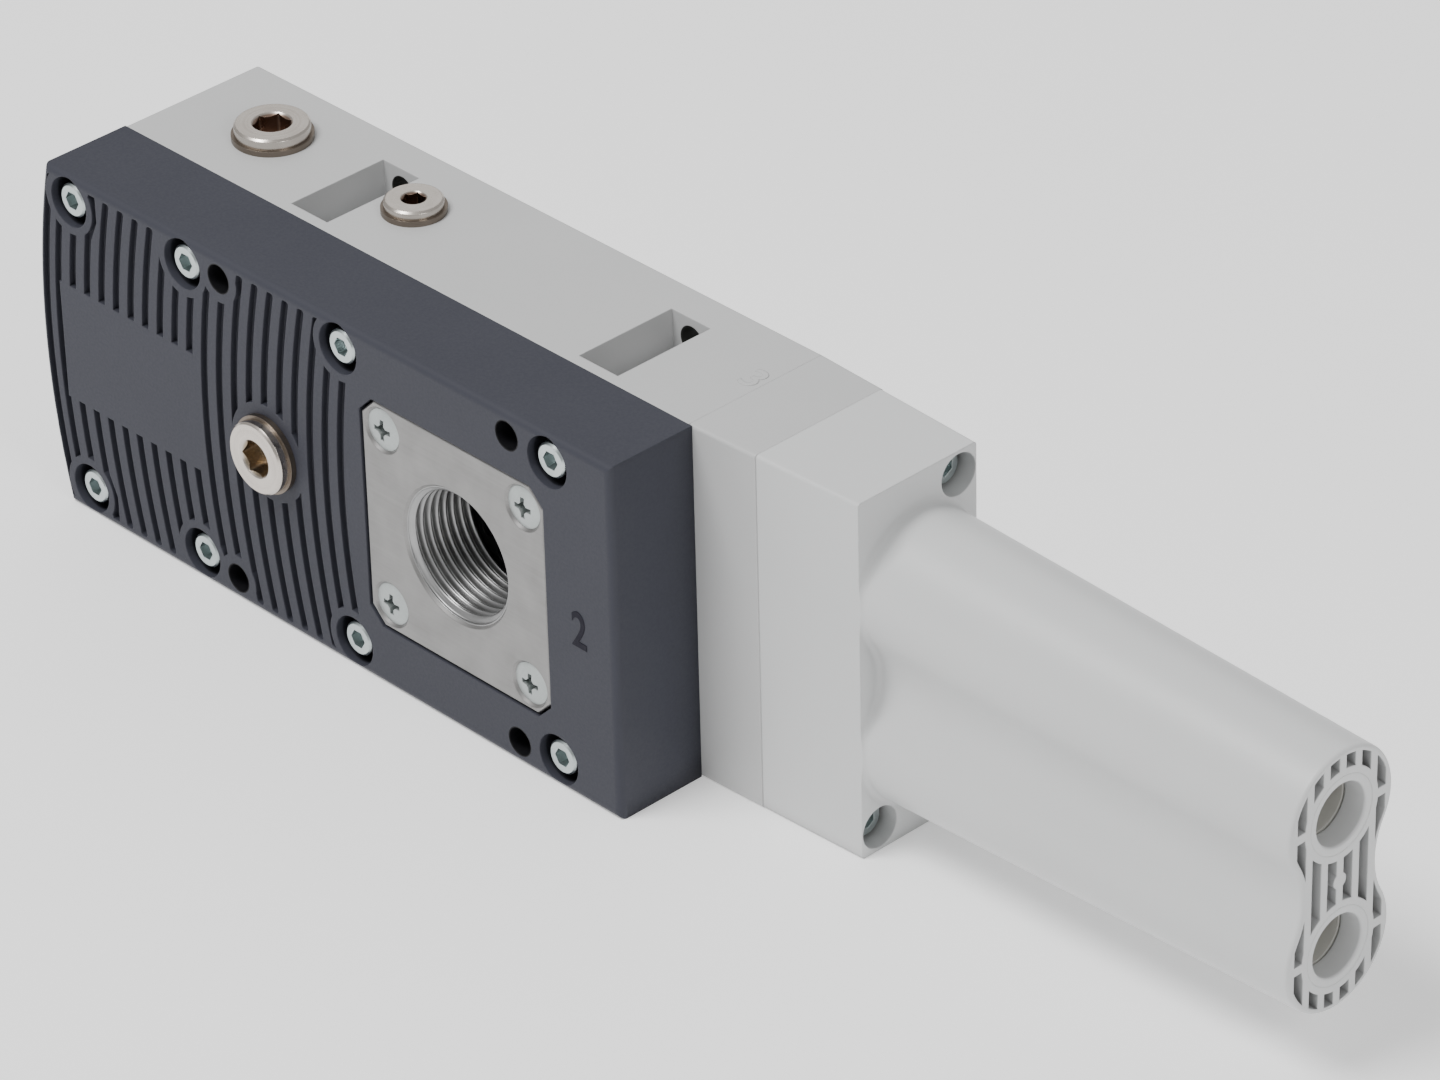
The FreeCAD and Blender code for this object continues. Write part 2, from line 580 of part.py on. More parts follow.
def chamfered_square(side, corner, y_low, y_high):
    """Square plate with its corners cut off, centred on the vacuum port."""
    half = side / 2
    cut = half - corner
    corners = [(-cut, -half), (cut, -half), (half, -cut), (half, cut),
               (cut, half), (-cut, half), (-half, cut), (-half, -cut)]
    points = [V(PORT_X + x, y_low, z) for x, z in corners]
    return Part.Face(Part.makePolygon(points + points[:1])).extrude(V(0, y_high - y_low, 0))


def make_cover():
    """Moulded cover: grooved front, counterbored screws, port recess and vacuum chamber."""
    shape = cover_outline_face(FRONT_Y).extrude(V(0, COVER_DEPTH, 0))
    front_edges = [e for e in shape.Edges if e.BoundBox.YMax < FRONT_Y + FLAT_FACE]
    shape = shape.makeFillet(COVER_EDGE_RADIUS, front_edges)
    cuts = cover_hollows() + cover_grooves()
    outside_y, inside_y = FRONT_Y - OVERSHOOT, JOINT_Y + OVERSHOOT
    for x, z in cover_screw_places():
        cuts.append(rod(COUNTERBORE_RADIUS, (x, outside_y, z), (x, FRONT_Y + COUNTERBORE_DEPTH, z)))
        cuts.append(rod(SCREW_HOLE_RADIUS, (x, FRONT_Y, z), (x, inside_y, z)))
    for x, z in mount_places():
        cuts.append(rod(MOUNT_HOLE_RADIUS, (x, outside_y, z), (x, inside_y, z)))
    side = PORT_PLATE_SIDE + 2 * PORT_RECESS_GAP
    cuts.append(chamfered_square(side, PORT_PLATE_CORNER, outside_y, PORT_FLANGE_BACK_Y))
    hub = PORT_HUB_RADIUS + SEAT_CLEARANCE
    seat_y = PORT_HUB_END_Y + SIEVE_THICKNESS + SEAT_CLEARANCE
    cuts.append(rod(hub, (PORT_X, FRONT_Y, 0), (PORT_X, seat_y, 0)))
    cuts.append(rod(hub - SIEVE_LIP_WIDTH, (PORT_X, FRONT_Y, 0), (PORT_X, inside_y, 0)))
    for x, z in port_screw_places():
        end_y = PORT_FLANGE_BACK_Y + PORT_INSERT_LENGTH + INSERT_TIP_SPACE
        cuts.append(rod(PORT_INSERT_OUTER_RADIUS + THREAD_CLEARANCE, (x, FRONT_Y, z), (x, end_y, z)))
    plug = (station(FRONT_PLUG_STATION), FRONT_Y, 0)
    cuts.append(plug_hole(LARGE_THREAD_RADIUS, LARGE_PLUG_LENGTH, COVER_DEPTH + OVERSHOOT, plug, (0, 1, 0)))
    return shape.cut(cuts)


def make_cover_gasket():
    """Flat gasket on the rim of the valve plate, with a bar over the first partition."""
    outer = rebate_block(JOINT_Y, PLATE_FRONT_Y, SEAT_CLEARANCE)
    low_y, high_y = JOINT_Y - OVERSHOOT, PLATE_FRONT_Y + OVERSHOOT
    inner = rebate_block(low_y, high_y, GASKET_WIDTH)
    middle = station(LEFT_WALL + PRESSURE_CHAMBER_LENGTH + FIRST_PARTITION / 2)
    half = GASKET_WIDTH / 2
    bar = block((middle - half, low_y, -REBATE_HALF), (middle + half, high_y, REBATE_HALF))
    return outer.cut(inner.cut(bar))


def make_chamber_gasket():
    """Flat gasket behind the valve plate, with bars over the three partitions."""
    outer = rebate_block(PLATE_BACK_Y, REBATE_FLOOR_Y, SEAT_CLEARANCE)
    holes = []
    for start, end in chamber_spans():
        low = (station(start), JOINT_Y, -CHAMBER_HALF)
        holes.append(rounded_box(low, (station(end), 0, CHAMBER_HALF), CHAMBER_CORNER_RADIUS))
    return outer.cut(holes)


def windows():
    """Low and high corners in X and Z of the valve plate's windows, upper side only."""
    z_low = LINE_Z - WINDOW_HEIGHT / 2
    z_high = LINE_Z + WINDOW_HEIGHT / 2
    return [(station(start + WINDOW_MARGIN), station(end - WINDOW_MARGIN), z_low, z_high)
            for start, end in chamber_spans()[1:]]


def rivet_places(window):
    """Centres of the two rivets at the left edge of a flap."""
    x = window[0] - FLAP_LAP
    middle = (window[2] + window[3]) / 2
    return [(x, middle - RIVET_SPACING / 2), (x, middle + RIVET_SPACING / 2)]


def make_valve_plate():
    """Plate between cover and housing with a window pair for each chamber."""
    plate = rebate_block(PLATE_FRONT_Y, PLATE_BACK_Y, SEAT_CLEARANCE)
    cuts = []
    for number, window in enumerate(windows()):
        x_low, x_high, z_low, z_high = window
        high_y = PLATE_BACK_Y + OVERSHOOT
        opening = rounded_box((x_low, JOINT_Y, z_low), (x_high, high_y, z_high), CHAMBER_CORNER_RADIUS)
        cuts += mirrored_pair(opening)
        if number > 0:
            for x, z in rivet_places(window):
                hole = rod(RIVET_RADIUS + THREAD_CLEARANCE, (x, JOINT_Y, z), (x, high_y, z))
                cuts += mirrored_pair(hole)
    return plate.cut(cuts)


def make_flaps(window):
    """Upper and lower rubber flap that close one pair of windows."""
    x_low, x_high, z_low, z_high = window
    low = (x_low - 2 * FLAP_LAP, PLATE_BACK_Y, z_low - FLAP_LAP)
    high = (x_high + FLAP_LAP, PLATE_BACK_Y + FLAP_THICKNESS, z_high + FLAP_LAP)
    flap = rounded_box(low, high, FLAP_LAP)
    holes = [rod(RIVET_RADIUS + THREAD_CLEARANCE, (x, PLATE_BACK_Y - OVERSHOOT, z), (x, 0, z))
             for x, z in rivet_places(window)]
    return Part.makeCompound(mirrored_pair(flap.cut(holes)))


def make_rivets():
    """Push rivets that hold the flaps at their left edges."""
    rivets = []
    grip = PLATE_THICKNESS + FLAP_THICKNESS
    top = grip + RIVET_HEAD_HEIGHT
    profile = [(0, 0), (0, RIVET_RADIUS), (grip, RIVET_RADIUS),
               (grip, RIVET_HEAD_RADIUS), (top, RIVET_RADIUS), (top, 0)]
    for window in windows()[1:]:
        for x, z in rivet_places(window):
            rivets += mirrored_pair(turned(profile, (x, PLATE_FRONT_Y, z), (0, 1, 0)))
    return Part.makeCompound(rivets)


def socket_screw(head_face, length, origin, direction):
    """Socket head cap screw; the origin lies under the head and the shank follows the direction."""
    chamfer = SCREW_EDGE_CHAMFER
    profile = [(-head_face, 0), (-head_face, SCREW_HEAD_RADIUS - chamfer),
               (chamfer - head_face, SCREW_HEAD_RADIUS), (0, SCREW_HEAD_RADIUS), (0, SCREW_RADIUS),
               (length - chamfer, SCREW_RADIUS), (length, SCREW_RADIUS - chamfer), (length, 0)]
    body = turned(profile, origin, direction)
    face = V(*origin) - V(*direction) * head_face
    return body.cut(hexagon(SCREW_HEX_ACROSS_FLATS, SCREW_HEX_DEPTH, tuple(face), direction))


def make_cover_screws():
    """Eight cap screws that hold the cover."""
    seat = FRONT_Y + COUNTERBORE_DEPTH
    screws = [socket_screw(SCREW_HEAD_HEIGHT, COVER_SCREW_LENGTH, (x, seat, z), (0, 1, 0))
              for x, z in cover_screw_places()]
    return Part.makeCompound(screws)


def insert(outer, bore, length, origin, direction):
    """Threaded brass insert with a plain shoulder groove in the middle."""
    waist = outer - INSERT_WAIST_DEPTH
    third = length / 3
    profile = [(0, bore), (0, outer), (third, outer), (third, waist), (2 * third, waist),
               (2 * third, outer), (length, outer), (length, bore)]
    return turned(profile, origin, direction)


def make_cover_inserts():
    """Eight inserts in the housing for the cover screws."""
    bore = SCREW_RADIUS + THREAD_CLEARANCE
    inserts = [insert(INSERT_OUTER_RADIUS, bore, INSERT_LENGTH, (x, JOINT_Y, z), (0, 1, 0))
               for x, z in cover_screw_places()]
    return Part.makeCompound(inserts)


def make_port_plate():
    """Square plate with a hub, the G1 bore, four sinks and a seal groove behind."""
    plate = chamfered_square(PORT_PLATE_SIDE, PORT_PLATE_CORNER, PORT_FACE_Y, PORT_FLANGE_BACK_Y)
    edges = [e for e in plate.Edges if e.BoundBox.YMax < PORT_FACE_Y + FLAT_FACE]
    plate = plate.makeChamfer(PORT_PLATE_EDGE_CHAMFER, edges)
    hub = rod(PORT_HUB_RADIUS, (PORT_X, PORT_FACE_Y + OVERSHOOT, 0), (PORT_X, PORT_HUB_END_Y, 0))
    shape = plate.fuse(hub)
    mouth = PORT_THREAD_RADIUS + PORT_MOUTH_CHAMFER
    far = PORT_THREAD_LENGTH + OVERSHOOT
    bore = [(-OVERSHOOT, 0), (-OVERSHOOT, mouth + OVERSHOOT), (PORT_MOUTH_CHAMFER, PORT_THREAD_RADIUS),
            (far, PORT_THREAD_RADIUS), (far, 0)]
    cuts = [turned(bore, (PORT_X, PORT_FACE_Y, 0), (0, 1, 0))]
    inner, outer = PORT_SEAL_RADIUS - SEAL_SECTION / 2, PORT_SEAL_RADIUS + SEAL_SECTION / 2
    groove_start = (PORT_X, PORT_FLANGE_BACK_Y - SEAL_SECTION, 0)
    cuts.append(ring(inner, outer, SEAL_SECTION + OVERSHOOT, groove_start, (0, 1, 0)))
    hole = PORT_SCREW_RADIUS + SEAT_CLEARANCE
    back = PORT_PLATE_THICKNESS + OVERSHOOT
    sink = [(-OVERSHOOT, 0), (-OVERSHOOT, PORT_SINK_RADIUS), (0, PORT_SINK_RADIUS),
            (PORT_SINK_RADIUS - hole, hole), (back, hole), (back, 0)]
    for x, z in port_screw_places():
        cuts.append(turned(sink, (x, PORT_FACE_Y, z), (0, 1, 0)))
    return shape.cut(cuts)


def make_port_seal():
    """Seal behind the port plate, in its groove."""
    half = SEAL_SECTION / 2 - THREAD_CLEARANCE
    start = (PORT_X, PORT_FLANGE_BACK_Y - SEAL_SECTION, 0)
    return ring(PORT_SEAL_RADIUS - half, PORT_SEAL_RADIUS + half, SEAL_SECTION, start, (0, 1, 0))


def make_port_screws():
    """Four raised countersunk screws with a cross recess."""
    screws = []
    dome = (PORT_SCREW_HEAD_RADIUS ** 2 + PORT_SCREW_RISE ** 2) / (2 * PORT_SCREW_RISE)
    rim = PORT_SINK_RADIUS - PORT_SCREW_HEAD_RADIUS
    cone = PORT_SCREW_HEAD_RADIUS - PORT_SCREW_RADIUS
    profile = [(0, 0), (0, PORT_SCREW_HEAD_RADIUS), (cone, PORT_SCREW_RADIUS),
               (PORT_SCREW_LENGTH, PORT_SCREW_RADIUS), (PORT_SCREW_LENGTH, 0)]
    face_y = PORT_FACE_Y + rim
    low_y, high_y = face_y - OVERSHOOT, face_y + CROSS_DEPTH
    long, thin = CROSS_LENGTH / 2, CROSS_WIDTH / 2
    for x, z in port_screw_places():
        top = (x, face_y - PORT_SCREW_RISE, z)
        cap = rod(PORT_SCREW_HEAD_RADIUS, top, (x, face_y, z))
        cap = cap.common(Part.makeSphere(dome, V(*top) + Y_AXIS * dome))
        screw = turned(profile, (x, face_y, z), (0, 1, 0)).fuse(cap)
        recess = [block((x - long, low_y, z - thin), (x + long, high_y, z + thin)),
                  block((x - thin, low_y, z - long), (x + thin, high_y, z + long)),
                  rod(CROSS_CORE_RADIUS, (x, low_y, z), (x, high_y, z))]
        screws.append(screw.cut(recess))
    return Part.makeCompound(screws)


def make_port_inserts():
    """Four inserts in the cover for the port plate screws."""
    bore = PORT_SCREW_RADIUS + THREAD_CLEARANCE
    start_y, outer = PORT_FLANGE_BACK_Y, PORT_INSERT_OUTER_RADIUS
    inserts = [insert(outer, bore, PORT_INSERT_LENGTH, (x, start_y, z), (0, 1, 0))
               for x, z in port_screw_places()]
    return Part.makeCompound(inserts)


def make_inlet_sieve():
    """Perforated disc behind the vacuum port, on the lip in the cover."""
    start_y = PORT_HUB_END_Y + SEAT_CLEARANCE
    disc = rod(PORT_HUB_RADIUS, (PORT_X, start_y, 0), (PORT_X, start_y + SIEVE_THICKNESS, 0))
    holes = [(0.0, 0.0)]
    for circle in range(1, SIEVE_RINGS + 1):
        for k in range(6 * circle):
            angle = 2 * math.pi * k / (6 * circle)
            away = circle * SIEVE_HOLE_PITCH
            holes.append((away * math.cos(angle), away * math.sin(angle)))
    low_y, high_y = start_y - OVERSHOOT, start_y + SIEVE_THICKNESS + OVERSHOOT
    cuts = [rod(SIEVE_HOLE_RADIUS, (PORT_X + dx, low_y, dz), (PORT_X + dx, high_y, dz)) for dx, dz in holes]
    return disc.cut(cuts)


def screw_plug(thread_radius, collar, length, across_flats, base, outward):
    """Plug with a collar (radius, height) and a hexagon socket; outward points away from the hole."""
    collar_radius, collar_height = collar
    seat = PLUG_SEAL_THICKNESS
    top = seat + collar_height
    chamfer = PLUG_EDGE_CHAMFER
    shank = thread_radius - 2 * THREAD_CLEARANCE
    profile = [(seat - length, 0), (seat - length, shank - PLUG_TIP_CHAMFER),
               (seat - length + PLUG_TIP_CHAMFER, shank), (seat, shank), (seat, collar_radius),
               (top - chamfer, collar_radius), (top, collar_radius - chamfer), (top, 0)]
    body = turned(profile, base, outward)
    way = V(*outward)
    face = V(*base) + way * top
    mouth, flat = across_flats / math.sqrt(3) + SOCKET_MOUTH_LAP, across_flats / 2
    funnel = [(-OVERSHOOT, 0), (-OVERSHOOT, mouth), (0, mouth), (mouth - flat, flat), (mouth - flat, 0)]
    socket = hexagon(across_flats, PLUG_HEX_DEPTH, tuple(face), tuple(-way))
    return body.cut([socket, turned(funnel, tuple(face), tuple(-way))])


def plug_seal(thread_radius, collar_radius, base, outward):
    """Flat sealing ring under a plug's collar."""
    return ring(thread_radius, collar_radius + PLUG_SEAL_LAP, PLUG_SEAL_THICKNESS, base, outward)


def plug_parts():
    """The three plugs and their sealing rings, by node name."""
    front = (station(FRONT_PLUG_STATION), FRONT_Y, 0)
    supply = (station(SUPPLY_PLUG_STATION), AXIS_Y, HALF_HEIGHT)
    gauge = (station(GAUGE_PLUG_STATION), AXIS_Y, HALF_HEIGHT)
    large = (LARGE_THREAD_RADIUS, (LARGE_COLLAR_RADIUS, LARGE_COLLAR_HEIGHT), LARGE_PLUG_LENGTH,
             LARGE_HEX_ACROSS_FLATS)
    small = (SMALL_THREAD_RADIUS, (SMALL_COLLAR_RADIUS, SMALL_COLLAR_HEIGHT), SMALL_PLUG_LENGTH,
             SMALL_HEX_ACROSS_FLATS)
    return {
        "front_plug": screw_plug(*large, front, (0, -1, 0)),
        "front_plug_seal": plug_seal(LARGE_THREAD_RADIUS, LARGE_COLLAR_RADIUS, front, (0, -1, 0)),
        "supply_plug": screw_plug(*large, supply, (0, 0, 1)),
        "supply_plug_seal": plug_seal(LARGE_THREAD_RADIUS, LARGE_COLLAR_RADIUS, supply, (0, 0, 1)),
        "gauge_plug": screw_plug(*small, gauge, (0, 0, 1)),
        "gauge_plug_seal": plug_seal(SMALL_THREAD_RADIUS, SMALL_COLLAR_RADIUS, gauge, (0, 0, 1)),
    }


def nozzle(seat, length, radii, lead, tail, z):
    """Turned nozzle: flange against the partition, ring groove, converging and widening bore."""
    seat_radius, entry, throat, exit_radius = radii
    start, end = -lead, length + tail
    throat_at = start + THROAT_SHARE * (end - start)
    bottom = seat_radius - RING_SECTION
    neck = max(entry + NOZZLE_TIP_WALL, bottom)
    flange = seat_radius + NOZZLE_FLANGE_LAP
    groove = length / 2 - RING_WIDTH / 2
    profile = [(start, entry), (start, entry + NOZZLE_TIP_WALL),
               (-NOZZLE_FLANGE_THICKNESS, neck), (-NOZZLE_FLANGE_THICKNESS, flange), (0, flange),
               (0, seat_radius), (groove, seat_radius), (groove, bottom),
               (groove + RING_WIDTH, bottom), (groove + RING_WIDTH, seat_radius), (length, seat_radius),
               (length, bottom), (end, exit_radius + NOZZLE_TIP_WALL), (end, exit_radius),
               (throat_at, throat)]
    return turned(profile, (station(seat), AXIS_Y, z), (1, 0, 0))


def nozzle_ring(seat, length, seat_radius, z):
    """Square-section seal in a nozzle's groove."""
    start = (station(seat) + length / 2 - RING_WIDTH / 2, AXIS_Y, z)
    return ring(seat_radius - RING_SECTION, seat_radius + NOZZLE_FIT / 2, RING_WIDTH, start, (1, 0, 0))


def nozzle_parts():
    """Upper and lower nozzle of each stage, and each stage's pair of seals, by node name."""
    parts = {}
    for name, seat, length, radii, lead, tail in nozzle_stages():
        for side, z in (("upper_", LINE_Z), ("lower_", -LINE_Z)):
            parts[side + name] = nozzle(seat, length, radii, lead, tail, z)
        rings = [nozzle_ring(seat, length, radii[0], z) for z in (LINE_Z, -LINE_Z)]
        parts[name + "_seals"] = Part.makeCompound(rings)
    return parts


def tapered_block(x_start, x_end, step):
    """Block between two stations of the narrowing exhaust end; step sets it in at its seam."""
    def half_depth(x):
        share = (x - RIGHT_X) / (FLANGE_END_X - RIGHT_X)
        return HOUSING_DEPTH / 2 - step - share * FLANGE_TAPER
    near, far = half_depth(x_start), half_depth(x_end)
    points = [V(x_start, AXIS_Y - near, -HALF_HEIGHT), V(x_end, AXIS_Y - far, -HALF_HEIGHT),
              V(x_end, AXIS_Y + far, -HALF_HEIGHT), V(x_start, AXIS_Y + near, -HALF_HEIGHT)]
    return Part.Face(Part.makePolygon(points + points[:1])).extrude(V(0, 0, HEIGHT))


def lobes_wire(x, radius, offset, waist):
    """Closed outline of two round lobes joined by tangent hollow arcs at the waist."""
    hollow = (offset ** 2 - radius ** 2 + waist ** 2) / (2 * (radius - waist))
    centre = waist + hollow
    share = radius / (radius + hollow)
    touch_y, touch_z = centre * share, offset * (1 - share)
    def at(y, z):
        return V(x, AXIS_Y + y, z)
    arcs = [
        Part.Arc(at(touch_y, touch_z), at(0, offset + radius), at(-touch_y, touch_z)),
        Part.Arc(at(-touch_y, touch_z), at(-waist, 0), at(-touch_y, -touch_z)),
        Part.Arc(at(-touch_y, -touch_z), at(0, -offset - radius), at(touch_y, -touch_z)),
        Part.Arc(at(touch_y, -touch_z), at(waist, 0), at(touch_y, touch_z)),
    ]
    return Part.Wire([arc.toShape() for arc in arcs])


def lobed_prism(x, length, radius, offset, waist):
    """Straight body with the two-lobed outline."""
    return Part.Face(lobes_wire(x, radius, offset, waist)).extrude(V(length, 0, 0))


def gasket_recess(x):
    """Cut for a sheet gasket that starts at a place along X."""
    start, depth = x - OVERSHOOT, SHEET_GASKET_THICKNESS + OVERSHOOT
    return lobed_prism(start, depth, ROOT_LOBE_RADIUS, ROOT_LOBE_OFFSET, ROOT_WAIST)


def make_sheet_gasket(x):
    """Sheet gasket round the two bores, flush in its recess."""
    def outline(start, length, inset):
        return lobed_prism(start, length, ROOT_LOBE_RADIUS - inset, ROOT_LOBE_OFFSET, ROOT_WAIST - inset)
    outer = outline(x, SHEET_GASKET_THICKNESS, SEAT_CLEARANCE)
    return outer.cut(outline(x - OVERSHOOT, SHEET_GASKET_THICKNESS + 2 * OVERSHOOT, SHEET_GASKET_WIDTH))


def make_exhaust_block():
    """Block between housing and silencer: twin bores, gasket recess and screw holes."""
    shape = tapered_block(RIGHT_X, BLOCK_END_X, 0)
    shape = shape.makeFillet(BLOCK_EDGE_RADIUS, edges_along(shape, X_AXIS))
    cuts = [gasket_recess(RIGHT_X)]
    near, far = RIGHT_X - OVERSHOOT, BLOCK_END_X + OVERSHOOT
    for z in (-LINE_Z, LINE_Z):
        cuts.append(rod(BLOCK_BORE_RADIUS, (near, AXIS_Y, z), (far, AXIS_Y, z)))
    for y, z in long_screw_places(1) + long_screw_places(-1):
        cuts.append(rod(SCREW_HOLE_RADIUS, (near, y, z), (far, y, z)))
    for y, z in long_screw_places(-1):
        cuts.append(rod(LONG_SCREW_POCKET_RADIUS, (BLOCK_END_X - BLOCK_SCREW_SEAT, y, z), (far, y, z)))
    return shape.cut(cuts)


def tube_outline(x, inset):
    """Lobed outline of the tapering tube at a place along X, smaller all round by the inset."""
    share = (x - FLANGE_END_X) / TUBE_LENGTH
    radius = ROOT_LOBE_RADIUS + share * (END_LOBE_RADIUS - ROOT_LOBE_RADIUS)
    offset = ROOT_LOBE_OFFSET + share * (END_LOBE_OFFSET - ROOT_LOBE_OFFSET)
    waist = ROOT_WAIST + share * (END_WAIST - ROOT_WAIST)
    return lobes_wire(x, radius - inset, offset, waist - inset)


def end_slots():
    """Slots between the ribs of the open end, clear of the two outlet rings and the gate pad."""
    start, past_end = TUBE_END_X - SLOT_DEPTH, TUBE_END_X + OVERSHOOT
    before = start - OVERSHOOT
    field = lobed_prism(start, SLOT_DEPTH + OVERSHOOT, END_LOBE_RADIUS - SLOT_RIM, END_LOBE_OFFSET,
                        END_WAIST - SLOT_RIM)
    keep = [rod(GATE_PAD_RADIUS, (before, AXIS_Y, 0), (past_end + OVERSHOOT, AXIS_Y, 0))]
    for z in (-LINE_Z, LINE_Z):
        ring_radius = OUTLET_BORE_RADIUS + OUTLET_RING_WALL
        keep.append(rod(ring_radius, (before, AXIS_Y, z), (past_end + OVERSHOOT, AXIS_Y, z)))
        keep.append(block((before, AXIS_Y - HOUSING_DEPTH, z - SLOT_WEB / 2),
                          (past_end + OVERSHOOT, AXIS_Y + HOUSING_DEPTH, z + SLOT_WEB / 2)))
    columns = []
    for k in range(SLOT_COUNT):
        y = AXIS_Y + (k - (SLOT_COUNT - 1) / 2) * SLOT_PITCH
        low = (before, y - SLOT_WIDTH / 2, -HEIGHT)
        columns.append(block(low, (past_end, y + SLOT_WIDTH / 2, HEIGHT)))
    return field.common(Part.makeCompound(columns)).cut(keep)


def root_cove():
    """Hollow quarter-round skirt at the root of the tube, trimmed to the flange's sides."""
    sections = [tube_outline(FLANGE_END_X - OVERSHOOT, -ROOT_COVE)]
    for k in range(ROUNDING_STEPS + 1):
        angle = math.pi / 2 * k / ROUNDING_STEPS
        away = ROOT_COVE * (1 - math.cos(angle))
        spread = ROOT_COVE * (1 - math.sin(angle))
        sections.append(tube_outline(FLANGE_END_X + away, -spread))
    skirt = Part.makeLoft(sections, True, True)
    return skirt.common(tapered_block(BLOCK_END_X, FLANGE_END_X + 2 * ROOT_COVE, SEAM_SETBACK))


def drafted_tube():
    """The tapering two-lobed body beyond the cove, with its far edge rounded over."""
    sections = [tube_outline(FLANGE_END_X + ROOT_COVE, 0)]
    for k in range(ROUNDING_STEPS + 1):
        angle = math.pi / 2 * k / ROUNDING_STEPS
        before_end = END_EDGE_RADIUS * (1 - math.sin(angle))
        inset = END_EDGE_RADIUS * (1 - math.cos(angle))
        sections.append(tube_outline(TUBE_END_X - before_end, inset))
    return Part.makeLoft(sections, True, True)


def make_silencer_housing():
    """Flange and two-lobed tube in one moulding, with the ribbed open end."""
    flange = tapered_block(BLOCK_END_X, FLANGE_END_X, SEAM_SETBACK)
    flange = flange.makeFillet(BLOCK_EDGE_RADIUS, edges_along(flange, X_AXIS))
    shape = flange.fuse([root_cove(), drafted_tube()])
    near, inner_end = BLOCK_END_X - OVERSHOOT, TUBE_END_X - END_WALL
    cavity = Part.makeLoft([tube_outline(near, TUBE_WALL), tube_outline(inner_end, TUBE_WALL)], True, True)
    cuts = [cavity, end_slots(), gasket_recess(BLOCK_END_X)]
    mouth = OUTLET_BORE_RADIUS + OUTLET_MOUTH_CHAMFER
    bore = [(-OVERSHOOT, 0), (-OVERSHOOT, mouth), (0, mouth), (OUTLET_MOUTH_CHAMFER, OUTLET_BORE_RADIUS),
            (OUTLET_BORE_DEPTH, OUTLET_BORE_RADIUS), (OUTLET_BORE_DEPTH, INNER_TUBE_RADIUS + INNER_TUBE_FIT),
            (END_WALL + OVERSHOOT, INNER_TUBE_RADIUS + INNER_TUBE_FIT), (END_WALL + OVERSHOOT, 0)]
    for z in (-LINE_Z, LINE_Z):
        cuts.append(turned(bore, (TUBE_END_X, AXIS_Y, z), (-1, 0, 0)))
    for y, z in long_screw_places(1):
        pocket_start = FLANGE_END_X - LONG_SCREW_POCKET_DEPTH
        pocket_end = FLANGE_END_X + LONG_SCREW_POCKET_DEPTH
        cuts.append(rod(SCREW_HOLE_RADIUS, (near, y, z), (FLANGE_END_X, y, z)))
        cuts.append(rod(LONG_SCREW_POCKET_RADIUS, (pocket_start, y, z), (pocket_end, y, z)))
    return shape.cut(cuts)


def make_absorber(z):
    """Porous sleeve between the exhaust block and the silencer's end wall."""
    cavity = END_LOBE_RADIUS - TUBE_WALL
    outer = min(cavity, LINE_Z) - ABSORBER_FIT
    length = FLANGE_LENGTH + TUBE_LENGTH - END_WALL
    return ring(INNER_TUBE_RADIUS, outer, length, (BLOCK_END_X, AXIS_Y, z), (1, 0, 0))


def make_inner_tube(z):
    """Slotted tube inside the sleeve; its end shows in the outlet bore."""
    length = FLANGE_LENGTH + TUBE_LENGTH - OUTLET_BORE_DEPTH - INNER_TUBE_SHORT
    inner = INNER_TUBE_RADIUS - INNER_TUBE_WALL
    tube = ring(inner, INNER_TUBE_RADIUS, length, (BLOCK_END_X, AXIS_Y, z), (1, 0, 0))
    reach = INNER_TUBE_RADIUS + OVERSHOOT
    across = INNER_TUBE_SLOT_WIDTH / 2
    slots = []
    for k in range(INNER_TUBE_SLOT_ROWS):
        middle = BLOCK_END_X + (k + 0.5) * length / INNER_TUBE_SLOT_ROWS
        low_x, high_x = middle - INNER_TUBE_SLOT_LENGTH / 2, middle + INNER_TUBE_SLOT_LENGTH / 2
        slots.append(block((low_x, AXIS_Y - reach, z - across), (high_x, AXIS_Y + reach, z + across)))
        slots.append(block((low_x, AXIS_Y - across, z - reach), (high_x, AXIS_Y + across, z + reach)))
    return tube.cut(slots)


def make_silencer_screws():
    """Two long cap screws through flange and block into the housing."""
    seat = FLANGE_END_X - LONG_SCREW_POCKET_DEPTH
    length = seat - RIGHT_X + LONG_SCREW_GRIP
    screws = [socket_screw(SCREW_HEAD_HEIGHT, length, (seat, y, z), (-1, 0, 0))
              for y, z in long_screw_places(1)]
    return Part.makeCompound(screws)


def make_block_screws():
    """Two cap screws that hold the block on the other diagonal, under the flange."""
    seat = BLOCK_END_X - BLOCK_SCREW_SEAT
    length = seat - RIGHT_X + LONG_SCREW_GRIP
    screws = [socket_screw(SCREW_HEAD_HEIGHT, length, (seat, y, z), (-1, 0, 0))
              for y, z in long_screw_places(-1)]
    return Part.makeCompound(screws)


def make_end_inserts():
    """Four inserts in the housing's right wall."""
    bore = SCREW_RADIUS + THREAD_CLEARANCE
    places = long_screw_places(1) + long_screw_places(-1)
    inserts = [insert(INSERT_OUTER_RADIUS, bore, INSERT_LENGTH, (RIGHT_X, y, z), (-1, 0, 0))
               for y, z in places]
    return Part.makeCompound(inserts)


